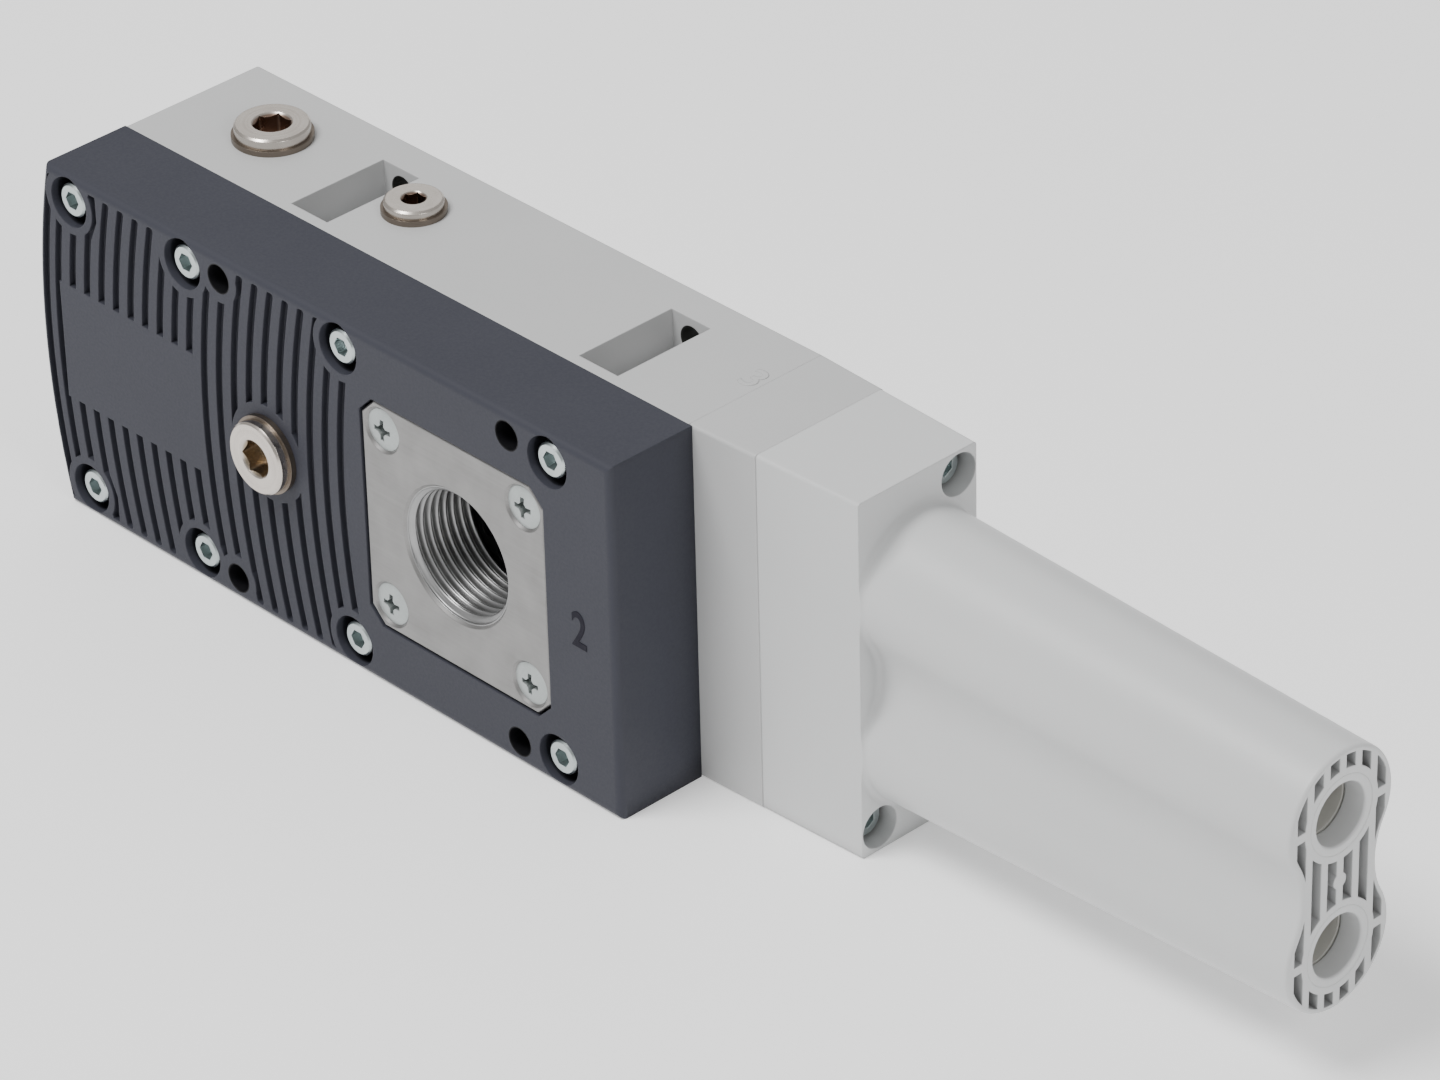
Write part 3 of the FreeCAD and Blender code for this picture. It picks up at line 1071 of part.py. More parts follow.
def build():
    """Every node of the assembly by name."""
    parts = {
        "housing": make_housing(),
        "cover": make_cover(),
        "cover_gasket": make_cover_gasket(),
        "valve_plate": make_valve_plate(),
        "chamber_gasket": make_chamber_gasket(),
        "second_stage_flaps": make_flaps(windows()[1]),
        "third_stage_flaps": make_flaps(windows()[2]),
        "flap_rivets": make_rivets(),
        "cover_screws": make_cover_screws(),
        "cover_screw_inserts": make_cover_inserts(),
        "port_plate": make_port_plate(),
        "port_seal": make_port_seal(),
        "port_plate_screws": make_port_screws(),
        "port_screw_inserts": make_port_inserts(),
        "inlet_sieve": make_inlet_sieve(),
        "exhaust_block": make_exhaust_block(),
        "exhaust_block_gasket": make_sheet_gasket(RIGHT_X),
        "block_screws": make_block_screws(),
        "silencer_housing": make_silencer_housing(),
        "silencer_gasket": make_sheet_gasket(BLOCK_END_X),
        "silencer_screws": make_silencer_screws(),
        "end_screw_inserts": make_end_inserts(),
        "upper_absorber": make_absorber(LINE_Z),
        "lower_absorber": make_absorber(-LINE_Z),
        "upper_inner_tube": make_inner_tube(LINE_Z),
        "lower_inner_tube": make_inner_tube(-LINE_Z),
    }
    parts.update(plug_parts())
    parts.update(nozzle_parts())
    return parts


os.makedirs("parts", exist_ok=True)
for node, shape in build().items():
    shape.exportStep("parts/" + node + ".step")
    state = "valid" if shape.isValid() else "INVALID"
    print(node, len(shape.Solids), "solids", round(shape.Volume / 1000, 2), "cm3", state)
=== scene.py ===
"""Looks of the vacuum ejector: finishes, port threads, port numbers, outlet collars, studio and camera."""
import logging
import math
from dataclasses import dataclass, replace
from enum import Enum

import bpy
import numpy as np
from mathutils import Matrix, Vector


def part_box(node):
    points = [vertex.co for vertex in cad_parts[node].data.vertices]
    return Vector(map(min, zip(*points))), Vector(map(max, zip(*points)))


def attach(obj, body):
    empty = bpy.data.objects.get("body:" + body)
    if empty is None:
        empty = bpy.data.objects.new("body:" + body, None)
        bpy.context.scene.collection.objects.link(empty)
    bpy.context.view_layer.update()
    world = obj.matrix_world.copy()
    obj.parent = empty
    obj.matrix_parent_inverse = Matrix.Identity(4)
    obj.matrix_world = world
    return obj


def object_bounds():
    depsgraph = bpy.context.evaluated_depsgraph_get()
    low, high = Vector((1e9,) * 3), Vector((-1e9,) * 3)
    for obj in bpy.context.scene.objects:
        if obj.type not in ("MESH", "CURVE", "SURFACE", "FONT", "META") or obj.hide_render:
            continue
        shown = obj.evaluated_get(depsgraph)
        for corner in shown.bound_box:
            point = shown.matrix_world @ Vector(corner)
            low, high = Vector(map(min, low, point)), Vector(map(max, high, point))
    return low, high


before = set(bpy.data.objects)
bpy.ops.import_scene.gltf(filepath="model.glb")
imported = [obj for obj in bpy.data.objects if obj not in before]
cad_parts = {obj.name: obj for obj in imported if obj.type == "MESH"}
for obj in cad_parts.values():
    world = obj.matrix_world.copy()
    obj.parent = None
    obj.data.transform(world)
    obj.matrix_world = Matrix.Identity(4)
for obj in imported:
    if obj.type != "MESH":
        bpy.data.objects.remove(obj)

CAD_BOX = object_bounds()
MM = 0.001
LOG = logging.getLogger("vacuum_ejector")

Link = tuple[bpy.types.Node, str | int]
Point = tuple[float, float, float]

# Inputs and output of a mix node that stand for colours
SHARE = 0
FIRST_COLOUR = 6
SECOND_COLOUR = 7
MIXED_COLOUR = 2

# Nearly all values of a noise lie between these two
NOISE_LOW = 0.3
NOISE_HIGH = 0.7

# Rays that look round a point for an edge or a crevice
RAYS = 6

# Agreement of the softened and the true normal on a flat face, and where an edge counts as fully worn
FLAT_AGREEMENT = 0.985
WORN_AGREEMENT = 0.80

# Open share of the room round a point, deep in a crevice and out on a face
SHUT_IN = 0.15
IN_THE_OPEN = 0.85

# Widths over which shade fades out: past a crevice's depth limit, round a bore and round a socket
CREVICE_FADE_MM = 0.6
BORE_FADE_MM = 0.05
SOCKET_FADE_MM = 0.15

# How much a cutter's lines are drawn out along the plate
LAY_STRETCH = 0.02

# Half the spacing of the four bolt bores, along X and along Z
BORE_HALF_X_MM = 48.0
BORE_HALF_Z_MM = 40.0


class Axis(Enum):
    """The three row axes as unit vectors, for pieces that are wound or set along one of them."""

    X = (1.0, 0.0, 0.0)
    Y = (0.0, 1.0, 0.0)
    Z = (0.0, 0.0, 1.0)


class Lay(Enum):
    """Direction of the fine lines that a tool leaves on metal."""

    ALONG_X = "along_x"
    TURNED = "turned"
    NONE = "none"


def linear(hex_colour: str) -> tuple[float, float, float, float]:
    """Turns an sRGB hex colour into linear RGBA.

    Args:
        hex_colour: Six hex digits, with or without a leading hash.

    Returns:
        Linear red, green and blue, and an alpha of one.
    """
    digits = hex_colour.lstrip("#")
    values = [int(digits[i:i + 2], 16) / 255 for i in (0, 2, 4)]
    bent = [v / 12.92 if v <= 0.04045 else ((v + 0.055) / 1.055) ** 2.4 for v in values]
    return (bent[0], bent[1], bent[2], 1.0)


def per_metre(size_mm: float) -> float:
    """Texture scale at which one cell of a noise is about that many millimetres."""
    return 1.0 / (size_mm * MM)


def both_tones(first_hex: str, second_hex: str) -> dict[str | int, object]:
    """Settings for a mix of two colours, of which a share of 0 gives the first."""
    return {"data_type": "RGBA", FIRST_COLOUR: linear(first_hex), SECOND_COLOUR: linear(second_hex)}


def tone_over(second_hex: str) -> dict[str | int, object]:
    """Settings for a mix that lays one colour over the one that is linked."""
    return {"data_type": "RGBA", SECOND_COLOUR: linear(second_hex)}


def ramp(start: float, end: float, first: float = 0.0, last: float = 1.0) -> dict[str | int, object]:
    """Settings for a map range that runs from first to last while its value goes from start to end."""
    return {"From Min": start, "From Max": end, "To Min": first, "To Max": last}


def middle_mm(node: str) -> Vector:
    """Middle of a CAD node's box, in millimetres."""
    low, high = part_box(node)
    return (low + high) / 2 / MM


def axis_foot(node: str, spin: Axis) -> Point:
    """Where a round node's axis meets the row plane that it stands on, in millimetres."""
    x, y, z = (place * (1.0 - way) for place, way in zip(middle_mm(node), spin.value))
    return (x, y, z)


def add_node(
    material: bpy.types.Material,
    kind: str,
    settings: dict[str | int, object] | None = None,
    links: dict[str | int, Link] | None = None,
) -> bpy.types.Node:
    """Adds one shader node.

    Args:
        material: Material whose tree gets the node.
        kind: Blender's type name of the node.
        settings: Values by attribute name, or by input name or number.
        links: For an input's name or number, the node and output that feed it.

    Returns:
        The new node.
    """
    node = material.node_tree.nodes.new(kind)
    for name, value in (settings or {}).items():
        if isinstance(name, int) or name in node.inputs:
            node.inputs[name].default_value = value
        else:
            setattr(node, name, value)
    for name, (source, output) in (links or {}).items():
        material.node_tree.links.new(source.outputs[output], node.inputs[name])
    return node


def blank_material(name: str) -> bpy.types.Material:
    """Makes a material with an empty node tree.

    Args:
        name: Name of the material.

    Returns:
        The new material.
    """
    material = bpy.data.materials.new(name)
    material.use_nodes = True
    material.node_tree.nodes.clear()
    return material


def edge_share(material: bpy.types.Material, radius_mm: float) -> bpy.types.Node:
    """Share that is 0 on flat faces and rises to 1 on a rounded-over edge.

    It is the dot product of the softened and the true normal, stretched and turned round.

    Args:
        material: Material that gets the nodes.
        radius_mm: How far from an edge its softening reaches.

    Returns:
        A map range node whose result is output 0.
    """
    soft = add_node(material, "ShaderNodeBevel", {"samples": RAYS, "Radius": radius_mm * MM})
    true = add_node(material, "ShaderNodeNewGeometry")
    agreement = add_node(material, "ShaderNodeVectorMath", {"operation": "DOT_PRODUCT"},
                         {0: (soft, "Normal"), 1: (true, "Normal")})
    return add_node(material, "ShaderNodeMapRange", ramp(FLAT_AGREEMENT, WORN_AGREEMENT),
                    {"Value": (agreement, "Value")})


@dataclass(frozen=True)
class MouldedPlastic:
    """Injection-moulded plastic from a spark-eroded tool: satin, fine-pitted, paler on worn edges, with
    painted shade in slots, pockets and bolt bores where set.

    Args:
        name: Name of the material.
        body_hex: Main colour.
        flow_hex: Colour of the faint clouds that the melt leaves.
        worn_hex: Colour of rubbed edges.
        roughness: Mean roughness.
        pit_mm: Size of the eroded pits. Real ones are near 0.05 mm, so they are drawn coarser to show.
        pit_height_mm: Height of the pits for the bump.
        cloud_mm: Size of the melt's clouds.
        edge_mm: Radius of moulded edges.
        specular: Strength of the surface's reflection, 0.5 for bare plastic.
        bore_radius_mm: Radius within which the walls of the four bolt bores get a painted shade, or 0 for
            none.
        bore_shade_hex: Colour of that painted shade.
        crevice: How strongly a painted shade darkens narrow slots and pockets, from 0 to 1.
        crevice_mm: Width of the slots that it reaches.
        crevice_from_y: Place along Y past which they get the painted shade, while the shallow ones before it
            don't.
        rub_mm: Size of the patches in which an edge is rubbed.
        gloss_spread: How far the roughness swings up and down with the pits.
        pit_strength: Strength of the pits' bump.
        ior: Index of refraction, typical of polyamide and acetal.
    """

    name: str
    body_hex: str
    flow_hex: str
    worn_hex: str
    roughness: float
    pit_mm: float
    pit_height_mm: float
    cloud_mm: float
    edge_mm: float
    specular: float = 0.5
    bore_radius_mm: float = 0.0
    bore_shade_hex: str = "#2C2D2A"
    crevice: float = 0.0
    crevice_mm: float = 4.0
    crevice_from_y: float | None = None
    rub_mm: float = 3.0
    gloss_spread: float = 0.06
    pit_strength: float = 0.6
    ior: float = 1.52

    def painted_crevice_shade(self, made: bpy.types.Material, at: bpy.types.Node, colour: Link) -> Link:
        """Paints shade into slots and pockets, the darker the less of the open room their walls see.

        Args:
            made: Material that gets the nodes.
            at: Node with the piece's coordinates.
            colour: Node and output with the colour outside the slots.

        Returns:
            Node and output with the colour darkened by the painted shade.
        """
        if not self.crevice:
            return colour
        # Painted shade: ambient occlusion darkens the colour in slots and pockets.
        room = add_node(made, "ShaderNodeAmbientOcclusion",
                        {"samples": RAYS, "Distance": self.crevice_mm * MM})
        kept = add_node(made, "ShaderNodeMapRange", ramp(SHUT_IN, IN_THE_OPEN, 1 - self.crevice, 1.0),
                        {"Value": (room, "AO")})
        if self.crevice_from_y is not None:
            parts = add_node(made, "ShaderNodeSeparateXYZ", {}, {0: (at, "Object")})
            fade_end = (self.crevice_from_y + CREVICE_FADE_MM) * MM
            shallow = add_node(made, "ShaderNodeMapRange", ramp(self.crevice_from_y * MM, fade_end, 1.0, 0.0),
                               {"Value": (parts, "Y")})
            kept = add_node(made, "ShaderNodeMath", {"operation": "MAXIMUM"}, {0: (kept, 0), 1: (shallow, 0)})
        crevice_shaded = add_node(made, "ShaderNodeVectorMath", {"operation": "SCALE"},
                          {0: colour, "Scale": (kept, 0)})
        return (crevice_shaded, 0)

    def shaded_bores(self, made: bpy.types.Material, at: bpy.types.Node, colour: Link) -> Link:
        """Paints shade on the walls of the bolt bores, where hardly any light gets in.

        The share is one where a point's distance from the nearest bore's axis is below the radius. All
        four bores fall on one once the signs of X and Z are dropped.

        Args:
            made: Material that gets the nodes.
            at: Node with the piece's coordinates.
            colour: Node and output with the colour outside the bores.

        Returns:
            Node and output with the colour inside and outside them.
        """
        if not self.bore_radius_mm:
            return colour
        axis = (BORE_HALF_X_MM * MM, 0, BORE_HALF_Z_MM * MM)
        radius = self.bore_radius_mm * MM
        flat = add_node(made, "ShaderNodeVectorMath", {"operation": "MULTIPLY", 1: (1, 0, 1)},
                        {0: (at, "Object")})
        quarter = add_node(made, "ShaderNodeVectorMath", {"operation": "ABSOLUTE"}, {0: (flat, 0)})
        offset = add_node(made, "ShaderNodeVectorMath", {"operation": "SUBTRACT", 1: axis}, {0: (quarter, 0)})
        distance = add_node(made, "ShaderNodeVectorMath", {"operation": "LENGTH"}, {0: (offset, 0)})
        inside = add_node(made, "ShaderNodeMapRange", ramp(radius + BORE_FADE_MM * MM, radius),
                          {"Value": (distance, "Value")})
        # Painted shade: the bores' walls take the dark colour.
        mixed = add_node(made, "ShaderNodeMix", tone_over(self.bore_shade_hex),
                         {SHARE: (inside, 0), FIRST_COLOUR: colour})
        return (mixed, MIXED_COLOUR)

    def material(self) -> bpy.types.Material:
        """Builds the node tree.

        Returns:
            The finished material.
        """
        made = blank_material(self.name)
        at = add_node(made, "ShaderNodeTexCoord")
        clouds = add_node(made, "ShaderNodeTexNoise",
                          {"Scale": per_metre(self.cloud_mm), "Detail": 3.0, "Roughness": 0.55},
                          {"Vector": (at, "Object")})
        body = add_node(made, "ShaderNodeMix", both_tones(self.body_hex, self.flow_hex), {SHARE: (clouds, 0)})
        rubs = add_node(made, "ShaderNodeTexNoise", {"Scale": per_metre(self.rub_mm), "Detail": 4.0},
                        {"Vector": (at, "Object")})
        edges = edge_share(made, self.edge_mm)
        broken = add_node(made, "ShaderNodeMath", {"operation": "MULTIPLY"}, {0: (edges, 0), 1: (rubs, 0)})
        worn = add_node(made, "ShaderNodeMix", tone_over(self.worn_hex),
                        {SHARE: (broken, 0), FIRST_COLOUR: (body, MIXED_COLOUR)})
        pits = add_node(made, "ShaderNodeTexNoise",
                        {"Scale": per_metre(self.pit_mm), "Detail": 2.0, "Roughness": 0.6},
                        {"Vector": (at, "Object")})
        gloss = add_node(made, "ShaderNodeMapRange",
                         ramp(NOISE_LOW, NOISE_HIGH, self.roughness - self.gloss_spread,
                              self.roughness + self.gloss_spread), {"Value": (pits, 0)})
        round_over = add_node(made, "ShaderNodeBevel", {"samples": RAYS, "Radius": self.edge_mm * MM})
        bump = add_node(made, "ShaderNodeBump",
                        {"Strength": self.pit_strength, "Distance": self.pit_height_mm * MM},
                        {"Height": (pits, 0), "Normal": (round_over, "Normal")})
        colour = self.shaded_bores(made, at, self.painted_crevice_shade(made, at, (worn, MIXED_COLOUR)))
        shader = add_node(made, "ShaderNodeBsdfPrincipled",
                          {"IOR": self.ior, "Specular IOR Level": self.specular},
                          {"Base Color": colour, "Roughness": (gloss, 0), "Normal": (bump, 0)})
        add_node(made, "ShaderNodeOutputMaterial", links={"Surface": (shader, 0)})
        return made


@dataclass(frozen=True)
class WorkedMetal:
    """Metal with the fine lines of its last working: milled, turned, rolled or plated over, with a painted
    shade in a key socket where set.

    Args:
        name: Name of the material.
        body_hex: Main colour.
        shade_hex: Colour between the tool's lines and in the haze of the plating.
        roughness: Mean roughness.
        lay: Direction of the lines.
        line_mm: Spacing of the lines. Real ones are near 0.1 mm, so they are drawn coarser to show.
        line_height_mm: Height of the lines for the bump.
        edge_mm: Radius of broken edges.
        centre_mm: Point on the axis that turned lines go round.
        spin: Direction of that axis.
        socket_mm: Radius round the axis within which a key socket's walls get a painted brown shade, or 0 for
            none.
        socket_shade_hex: Colour of that painted shade.
        metallic: Share of bare metal, lower where the plating is chalky.
        haze_mm: Size of the patches of haze.
        brighter: How far the roughness falls where there is no haze.
        duller: How far it rises in the haze.
        line_strength: Strength of the lines' bump.
    """

    name: str
    body_hex: str
    shade_hex: str
    roughness: float
    lay: Lay
    line_mm: float
    line_height_mm: float
    edge_mm: float
    centre_mm: Point = (0.0, 0.0, 0.0)
    spin: Axis = Axis.X
    socket_mm: float = 0.0
    socket_shade_hex: str = "#8A7568"
    metallic: float = 1.0
    haze_mm: float = 7.0
    brighter: float = 0.05
    duller: float = 0.08
    line_strength: float = 0.5

    def from_centre(self, made: bpy.types.Material, at: bpy.types.Node) -> bpy.types.Node:
        """Way from the point on the axis, as a vector node."""
        centre = tuple(-v * MM for v in self.centre_mm)
        return add_node(made, "ShaderNodeVectorMath", {"operation": "ADD", 1: centre}, {0: (at, "Object")})

    def from_axis(self, made: bpy.types.Material, offset: bpy.types.Node) -> bpy.types.Node:
        """Distance from the axis: the length of the cross product with its direction."""
        across = add_node(made, "ShaderNodeVectorMath", {"operation": "CROSS_PRODUCT", 1: self.spin.value},
                          {0: (offset, 0)})
        return add_node(made, "ShaderNodeVectorMath", {"operation": "LENGTH"}, {0: (across, 0)})

    def painted_socket_shade(self, made: bpy.types.Material, at: bpy.types.Node, colour: Link) -> Link:
        """Paints a brown shade on the socket's walls.

        Args:
            made: Material that gets the nodes.
            at: Node with the piece's coordinates.
            colour: Node and output with the colour outside the socket.

        Returns:
            Node and output with the colour inside and outside it.
        """
        if not self.socket_mm:
            return colour
        distance = self.from_axis(made, self.from_centre(made, at))
        outer, inner = (self.socket_mm + SOCKET_FADE_MM) * MM, (self.socket_mm - SOCKET_FADE_MM) * MM
        inside = add_node(made, "ShaderNodeMapRange", ramp(outer, inner), {"Value": (distance, "Value")})
        # Painted shade: the socket's walls take the darker brown within the radius.
        mixed = add_node(made, "ShaderNodeMix", tone_over(self.socket_shade_hex),
                         {SHARE: (inside, 0), FIRST_COLOUR: colour})
        return (mixed, MIXED_COLOUR)

    def turned_lines(self, made: bpy.types.Material, at: bpy.types.Node) -> bpy.types.Node:
        """Rings that a lathe leaves, on the faces as well as round the sides.

        The pattern is a noise along one line, read at the distance from the axis plus the way along it.

        Args:
            made: Material that gets the nodes.
            at: Node with the piece's coordinates.

        Returns:
            The noise node.
        """
        offset = self.from_centre(made, at)
        radius = self.from_axis(made, offset)
        along = add_node(made, "ShaderNodeVectorMath", {"operation": "DOT_PRODUCT", 1: self.spin.value},
                         {0: (offset, 0)})
        path = add_node(made, "ShaderNodeMath", {"operation": "ADD"},
                        {0: (radius, "Value"), 1: (along, "Value")})
        return add_node(made, "ShaderNodeTexNoise",
                        {"noise_dimensions": "1D", "Scale": per_metre(self.line_mm), "Detail": 3.0},
                        {"W": (path, 0)})

    def lines(self, made: bpy.types.Material, at: bpy.types.Node) -> bpy.types.Node:
        """The pattern that the tool leaves.

        Args:
            made: Material that gets the nodes.
            at: Node with the piece's coordinates.

        Returns:
            A noise node, stretched along the lay.
        """
        if self.lay is Lay.TURNED:
            return self.turned_lines(made, at)
        stretch = (LAY_STRETCH, 1.0, 1.0) if self.lay is Lay.ALONG_X else (1.0, 1.0, 1.0)
        stretched = add_node(made, "ShaderNodeMapping", {"Scale": stretch}, {"Vector": (at, "Object")})
        return add_node(made, "ShaderNodeTexNoise", {"Scale": per_metre(self.line_mm), "Detail": 3.0},
                        {"Vector": (stretched, 0)})

    def material(self) -> bpy.types.Material:
        """Builds the node tree.

        Returns:
            The finished material.
        """
        made = blank_material(self.name)
        at = add_node(made, "ShaderNodeTexCoord")
        marks = self.lines(made, at)
        haze = add_node(made, "ShaderNodeTexNoise", {"Scale": per_metre(self.haze_mm), "Detail": 3.0},
                        {"Vector": (at, "Object")})
        mixed = add_node(made, "ShaderNodeMath", {"operation": "MULTIPLY"}, {0: (marks, 0), 1: (haze, 0)})
        tone = add_node(made, "ShaderNodeMix", both_tones(self.body_hex, self.shade_hex), {SHARE: (mixed, 0)})
        gloss = add_node(made, "ShaderNodeMapRange",
                         ramp(NOISE_LOW, NOISE_HIGH, self.roughness - self.brighter,
                              self.roughness + self.duller), {"Value": (haze, 0)})
        round_over = add_node(made, "ShaderNodeBevel", {"samples": RAYS, "Radius": self.edge_mm * MM})
        bump = add_node(made, "ShaderNodeBump",
                        {"Strength": self.line_strength, "Distance": self.line_height_mm * MM},
                        {"Height": (marks, 0), "Normal": (round_over, "Normal")})
        colour = self.painted_socket_shade(made, at, (tone, MIXED_COLOUR))
        shader = add_node(made, "ShaderNodeBsdfPrincipled", {"Metallic": self.metallic},
                          {"Base Color": colour, "Roughness": (gloss, 0), "Normal": (bump, 0)})
        add_node(made, "ShaderNodeOutputMaterial", links={"Surface": (shader, 0)})
        return made


@dataclass(frozen=True)
class Elastomer:
    """Moulded rubber: dark, dull, with a bloom of paler dust.

    Args:
        name: Name of the material.
        body_hex: Main colour.
        bloom_hex: Colour of the bloom.
        bloom_mm: Size of the bloom's patches.
        roughness: Roughness of the skin.
        ior: Index of refraction.
        skin_height_mm: Height of the skin's waves for the bump.
        skin_strength: Strength of that bump.
    """

    name: str
    body_hex: str
    bloom_hex: str
    bloom_mm: float
    roughness: float = 0.62
    ior: float = 1.5
    skin_height_mm: float = 0.05
    skin_strength: float = 0.4

    def material(self) -> bpy.types.Material:
        """Builds the node tree.

        Returns:
            The finished material.
        """
        made = blank_material(self.name)
        at = add_node(made, "ShaderNodeTexCoord")
        bloom = add_node(made, "ShaderNodeTexNoise", {"Scale": per_metre(self.bloom_mm), "Detail": 5.0},
                         {"Vector": (at, "Object")})
        tone = add_node(made, "ShaderNodeMix", both_tones(self.body_hex, self.bloom_hex), {SHARE: (bloom, 0)})
        bump = add_node(made, "ShaderNodeBump",
                        {"Strength": self.skin_strength, "Distance": self.skin_height_mm * MM},
                        {"Height": (bloom, 0)})
        shader = add_node(made, "ShaderNodeBsdfPrincipled", {"Roughness": self.roughness, "IOR": self.ior},
                          {"Base Color": (tone, MIXED_COLOUR), "Normal": (bump, 0)})
        add_node(made, "ShaderNodeOutputMaterial", links={"Surface": (shader, 0)})
        return made


@dataclass(frozen=True)
class PressedFelt:
    """Felt of short fibres: pale, matt, with tangled streaks and a soft sheen.

    Args:
        name: Name of the material.
        body_hex: Main colour.
        gap_hex: Colour of the gaps between fibres.
        fibre_mm: Width of a bundle of fibres. A single one is near 0.03 mm and wouldn't show.
        fibre_height_mm: Height of the bundles for the bump.
        fibre_strength: Strength of that bump.
        roughness: Roughness, near that of cloth.
        sheen: Strength of the fibres' soft sheen.
    """

    name: str
    body_hex: str
    gap_hex: str
    fibre_mm: float
    fibre_height_mm: float = 0.2
    fibre_strength: float = 0.8
    roughness: float = 0.95
    sheen: float = 0.3

    def material(self) -> bpy.types.Material:
        """Builds the node tree.

        Returns:
            The finished material.
        """
        made = blank_material(self.name)
        at = add_node(made, "ShaderNodeTexCoord")
        fibres = add_node(made, "ShaderNodeTexNoise",
                          {"Scale": per_metre(self.fibre_mm), "Detail": 6.0, "Distortion": 1.5},
                          {"Vector": (at, "Object")})
        tone = add_node(made, "ShaderNodeMix", both_tones(self.gap_hex, self.body_hex), {SHARE: (fibres, 0)})
        bump = add_node(made, "ShaderNodeBump",
                        {"Strength": self.fibre_strength, "Distance": self.fibre_height_mm * MM},
                        {"Height": (fibres, 0)})
        shader = add_node(made, "ShaderNodeBsdfPrincipled",
                          {"Roughness": self.roughness, "Sheen Weight": self.sheen},
                          {"Base Color": (tone, MIXED_COLOUR), "Normal": (bump, 0)})
        add_node(made, "ShaderNodeOutputMaterial", links={"Surface": (shader, 0)})
        return made


Finish = MouldedPlastic | WorkedMetal | Elastomer | PressedFelt

# Housing and block: light grey, satin, faint cloudy flow of the glass-filled melt. The walls of the four bolt
# bores get a painted shade.
GREY_POLYAMIDE = MouldedPlastic(
    "moulded_glass_filled_polyamide_light_grey", body_hex="#BDBDBD", flow_hex="#B5B6B6", worn_hex="#D2D2D2",
    roughness=0.50, pit_mm=0.7, pit_height_mm=0.03, cloud_mm=30.0, edge_mm=0.5, bore_radius_mm=3.6)
# Silencer: the same grey a shade paler and smoother, so its lobes carry a soft sheen. Painted shade darkens
# its narrow slots and pockets.
SILENCER_POLYAMIDE = MouldedPlastic(
    "moulded_polyamide_pale_grey", body_hex="#CDCECE", flow_hex="#C7C8C8", worn_hex="#DCDCDC",
    roughness=0.40, pit_mm=0.8, pit_height_mm=0.015, cloud_mm=45.0, edge_mm=0.5, crevice=0.45)
# Cover: blue-black moulding with a fine eroded grain. Its edges catch a paler line. Painted shade darkens its
# pockets and slots beyond y = -63.2 mm, and its bolt bores near black.
ANTHRACITE_POLYAMIDE = MouldedPlastic(
    "moulded_polyamide_anthracite", body_hex="#3A3B43", flow_hex="#36373F", worn_hex="#494A52",
    roughness=0.56, pit_mm=0.7, pit_height_mm=0.03, cloud_mm=25.0, edge_mm=0.4, specular=0.2,
    bore_radius_mm=3.7, bore_shade_hex="#101013", crevice=0.8, crevice_mm=8.0, crevice_from_y=-63.2)
# Raised figure on the cover: the same plastic, given a near-black painted shade, matt, so it reads against
# the grain round it.
PAINTED_SHADE_ANTHRACITE = MouldedPlastic(
    "moulded_polyamide_anthracite_painted_shade", body_hex="#22212A", flow_hex="#1E1D26", worn_hex="#2C2B34",
    roughness=0.62, pit_mm=0.9, pit_height_mm=0.003, cloud_mm=8.0, edge_mm=0.03, specular=0.1)
# Inner tubes: off-white moulding that shows deep in the two outlets.
OFF_WHITE_ACETAL = MouldedPlastic(
    "moulded_acetal_off_white", body_hex="#C6C5BF", flow_hex="#BDBCB5", worn_hex="#D4D3CD",
    roughness=0.42, pit_mm=0.6, pit_height_mm=0.01, cloud_mm=20.0, edge_mm=0.3)
# Nozzles: undyed moulding, creamy and slightly waxy.
NATURAL_ACETAL = MouldedPlastic(
    "moulded_acetal_natural", body_hex="#CFC9B8", flow_hex="#C6BFAC", worn_hex="#DAD5C6",
    roughness=0.40, pit_mm=0.6, pit_height_mm=0.01, cloud_mm=20.0, edge_mm=0.3)
# Sieve and rivets: black moulding, a little glossier than the cover.
BLACK_ACETAL = MouldedPlastic(
    "moulded_acetal_black", body_hex="#17181A", flow_hex="#131415", worn_hex="#2C2D30",
    roughness=0.42, pit_mm=0.6, pit_height_mm=0.01, cloud_mm=8.0, edge_mm=0.2)
# Port plate: warm silver, long cutter lines along the plate, dulled by anodising.
MILLED_ALUMINIUM = WorkedMetal(
    "milled_aluminium_clear_anodised", body_hex="#959493", shade_hex="#807F7E", roughness=0.42,
    lay=Lay.ALONG_X, line_mm=0.5, line_height_mm=0.008, edge_mm=0.25)
# Port thread: cut ridges with broad bright crests, and shade in the grooves between them.
CUT_ALUMINIUM = WorkedMetal(
    "cut_aluminium_thread", body_hex="#A4A4A4", shade_hex="#838383", roughness=0.37,
    lay=Lay.TURNED, line_mm=0.5, line_height_mm=0.01, edge_mm=0.08,
    centre_mm=axis_foot("port_plate", Axis.Y), spin=Axis.Y)
# Valve plate: pale cold-rolled sheet with fine lines along its length.
ROLLED_ALUMINIUM = WorkedMetal(
    "rolled_aluminium_sheet", body_hex="#C4C5C7", shade_hex="#B2B4B6", roughness=0.45,
    lay=Lay.ALONG_X, line_mm=0.5, line_height_mm=0.005, edge_mm=0.1)
# Cap screws: bluish zinc, bright on the rim, greenish grey down in the sockets.
ZINC_STEEL = WorkedMetal(
    "zinc_plated_cold_headed_steel", body_hex="#C6CECE", shade_hex="#96A2A1", roughness=0.30,
    lay=Lay.NONE, line_mm=0.5, line_height_mm=0.02, edge_mm=0.2)
# Countersunk screws: the same zinc, handled and greyer, close to the plate they sit in.
ZINC_STEEL_DULL = WorkedMetal(
    "zinc_plated_cold_headed_steel_dull", body_hex="#B3B8B7", shade_hex="#8E9594", roughness=0.36,
    lay=Lay.NONE, line_mm=0.5, line_height_mm=0.02, edge_mm=0.2, metallic=0.55)
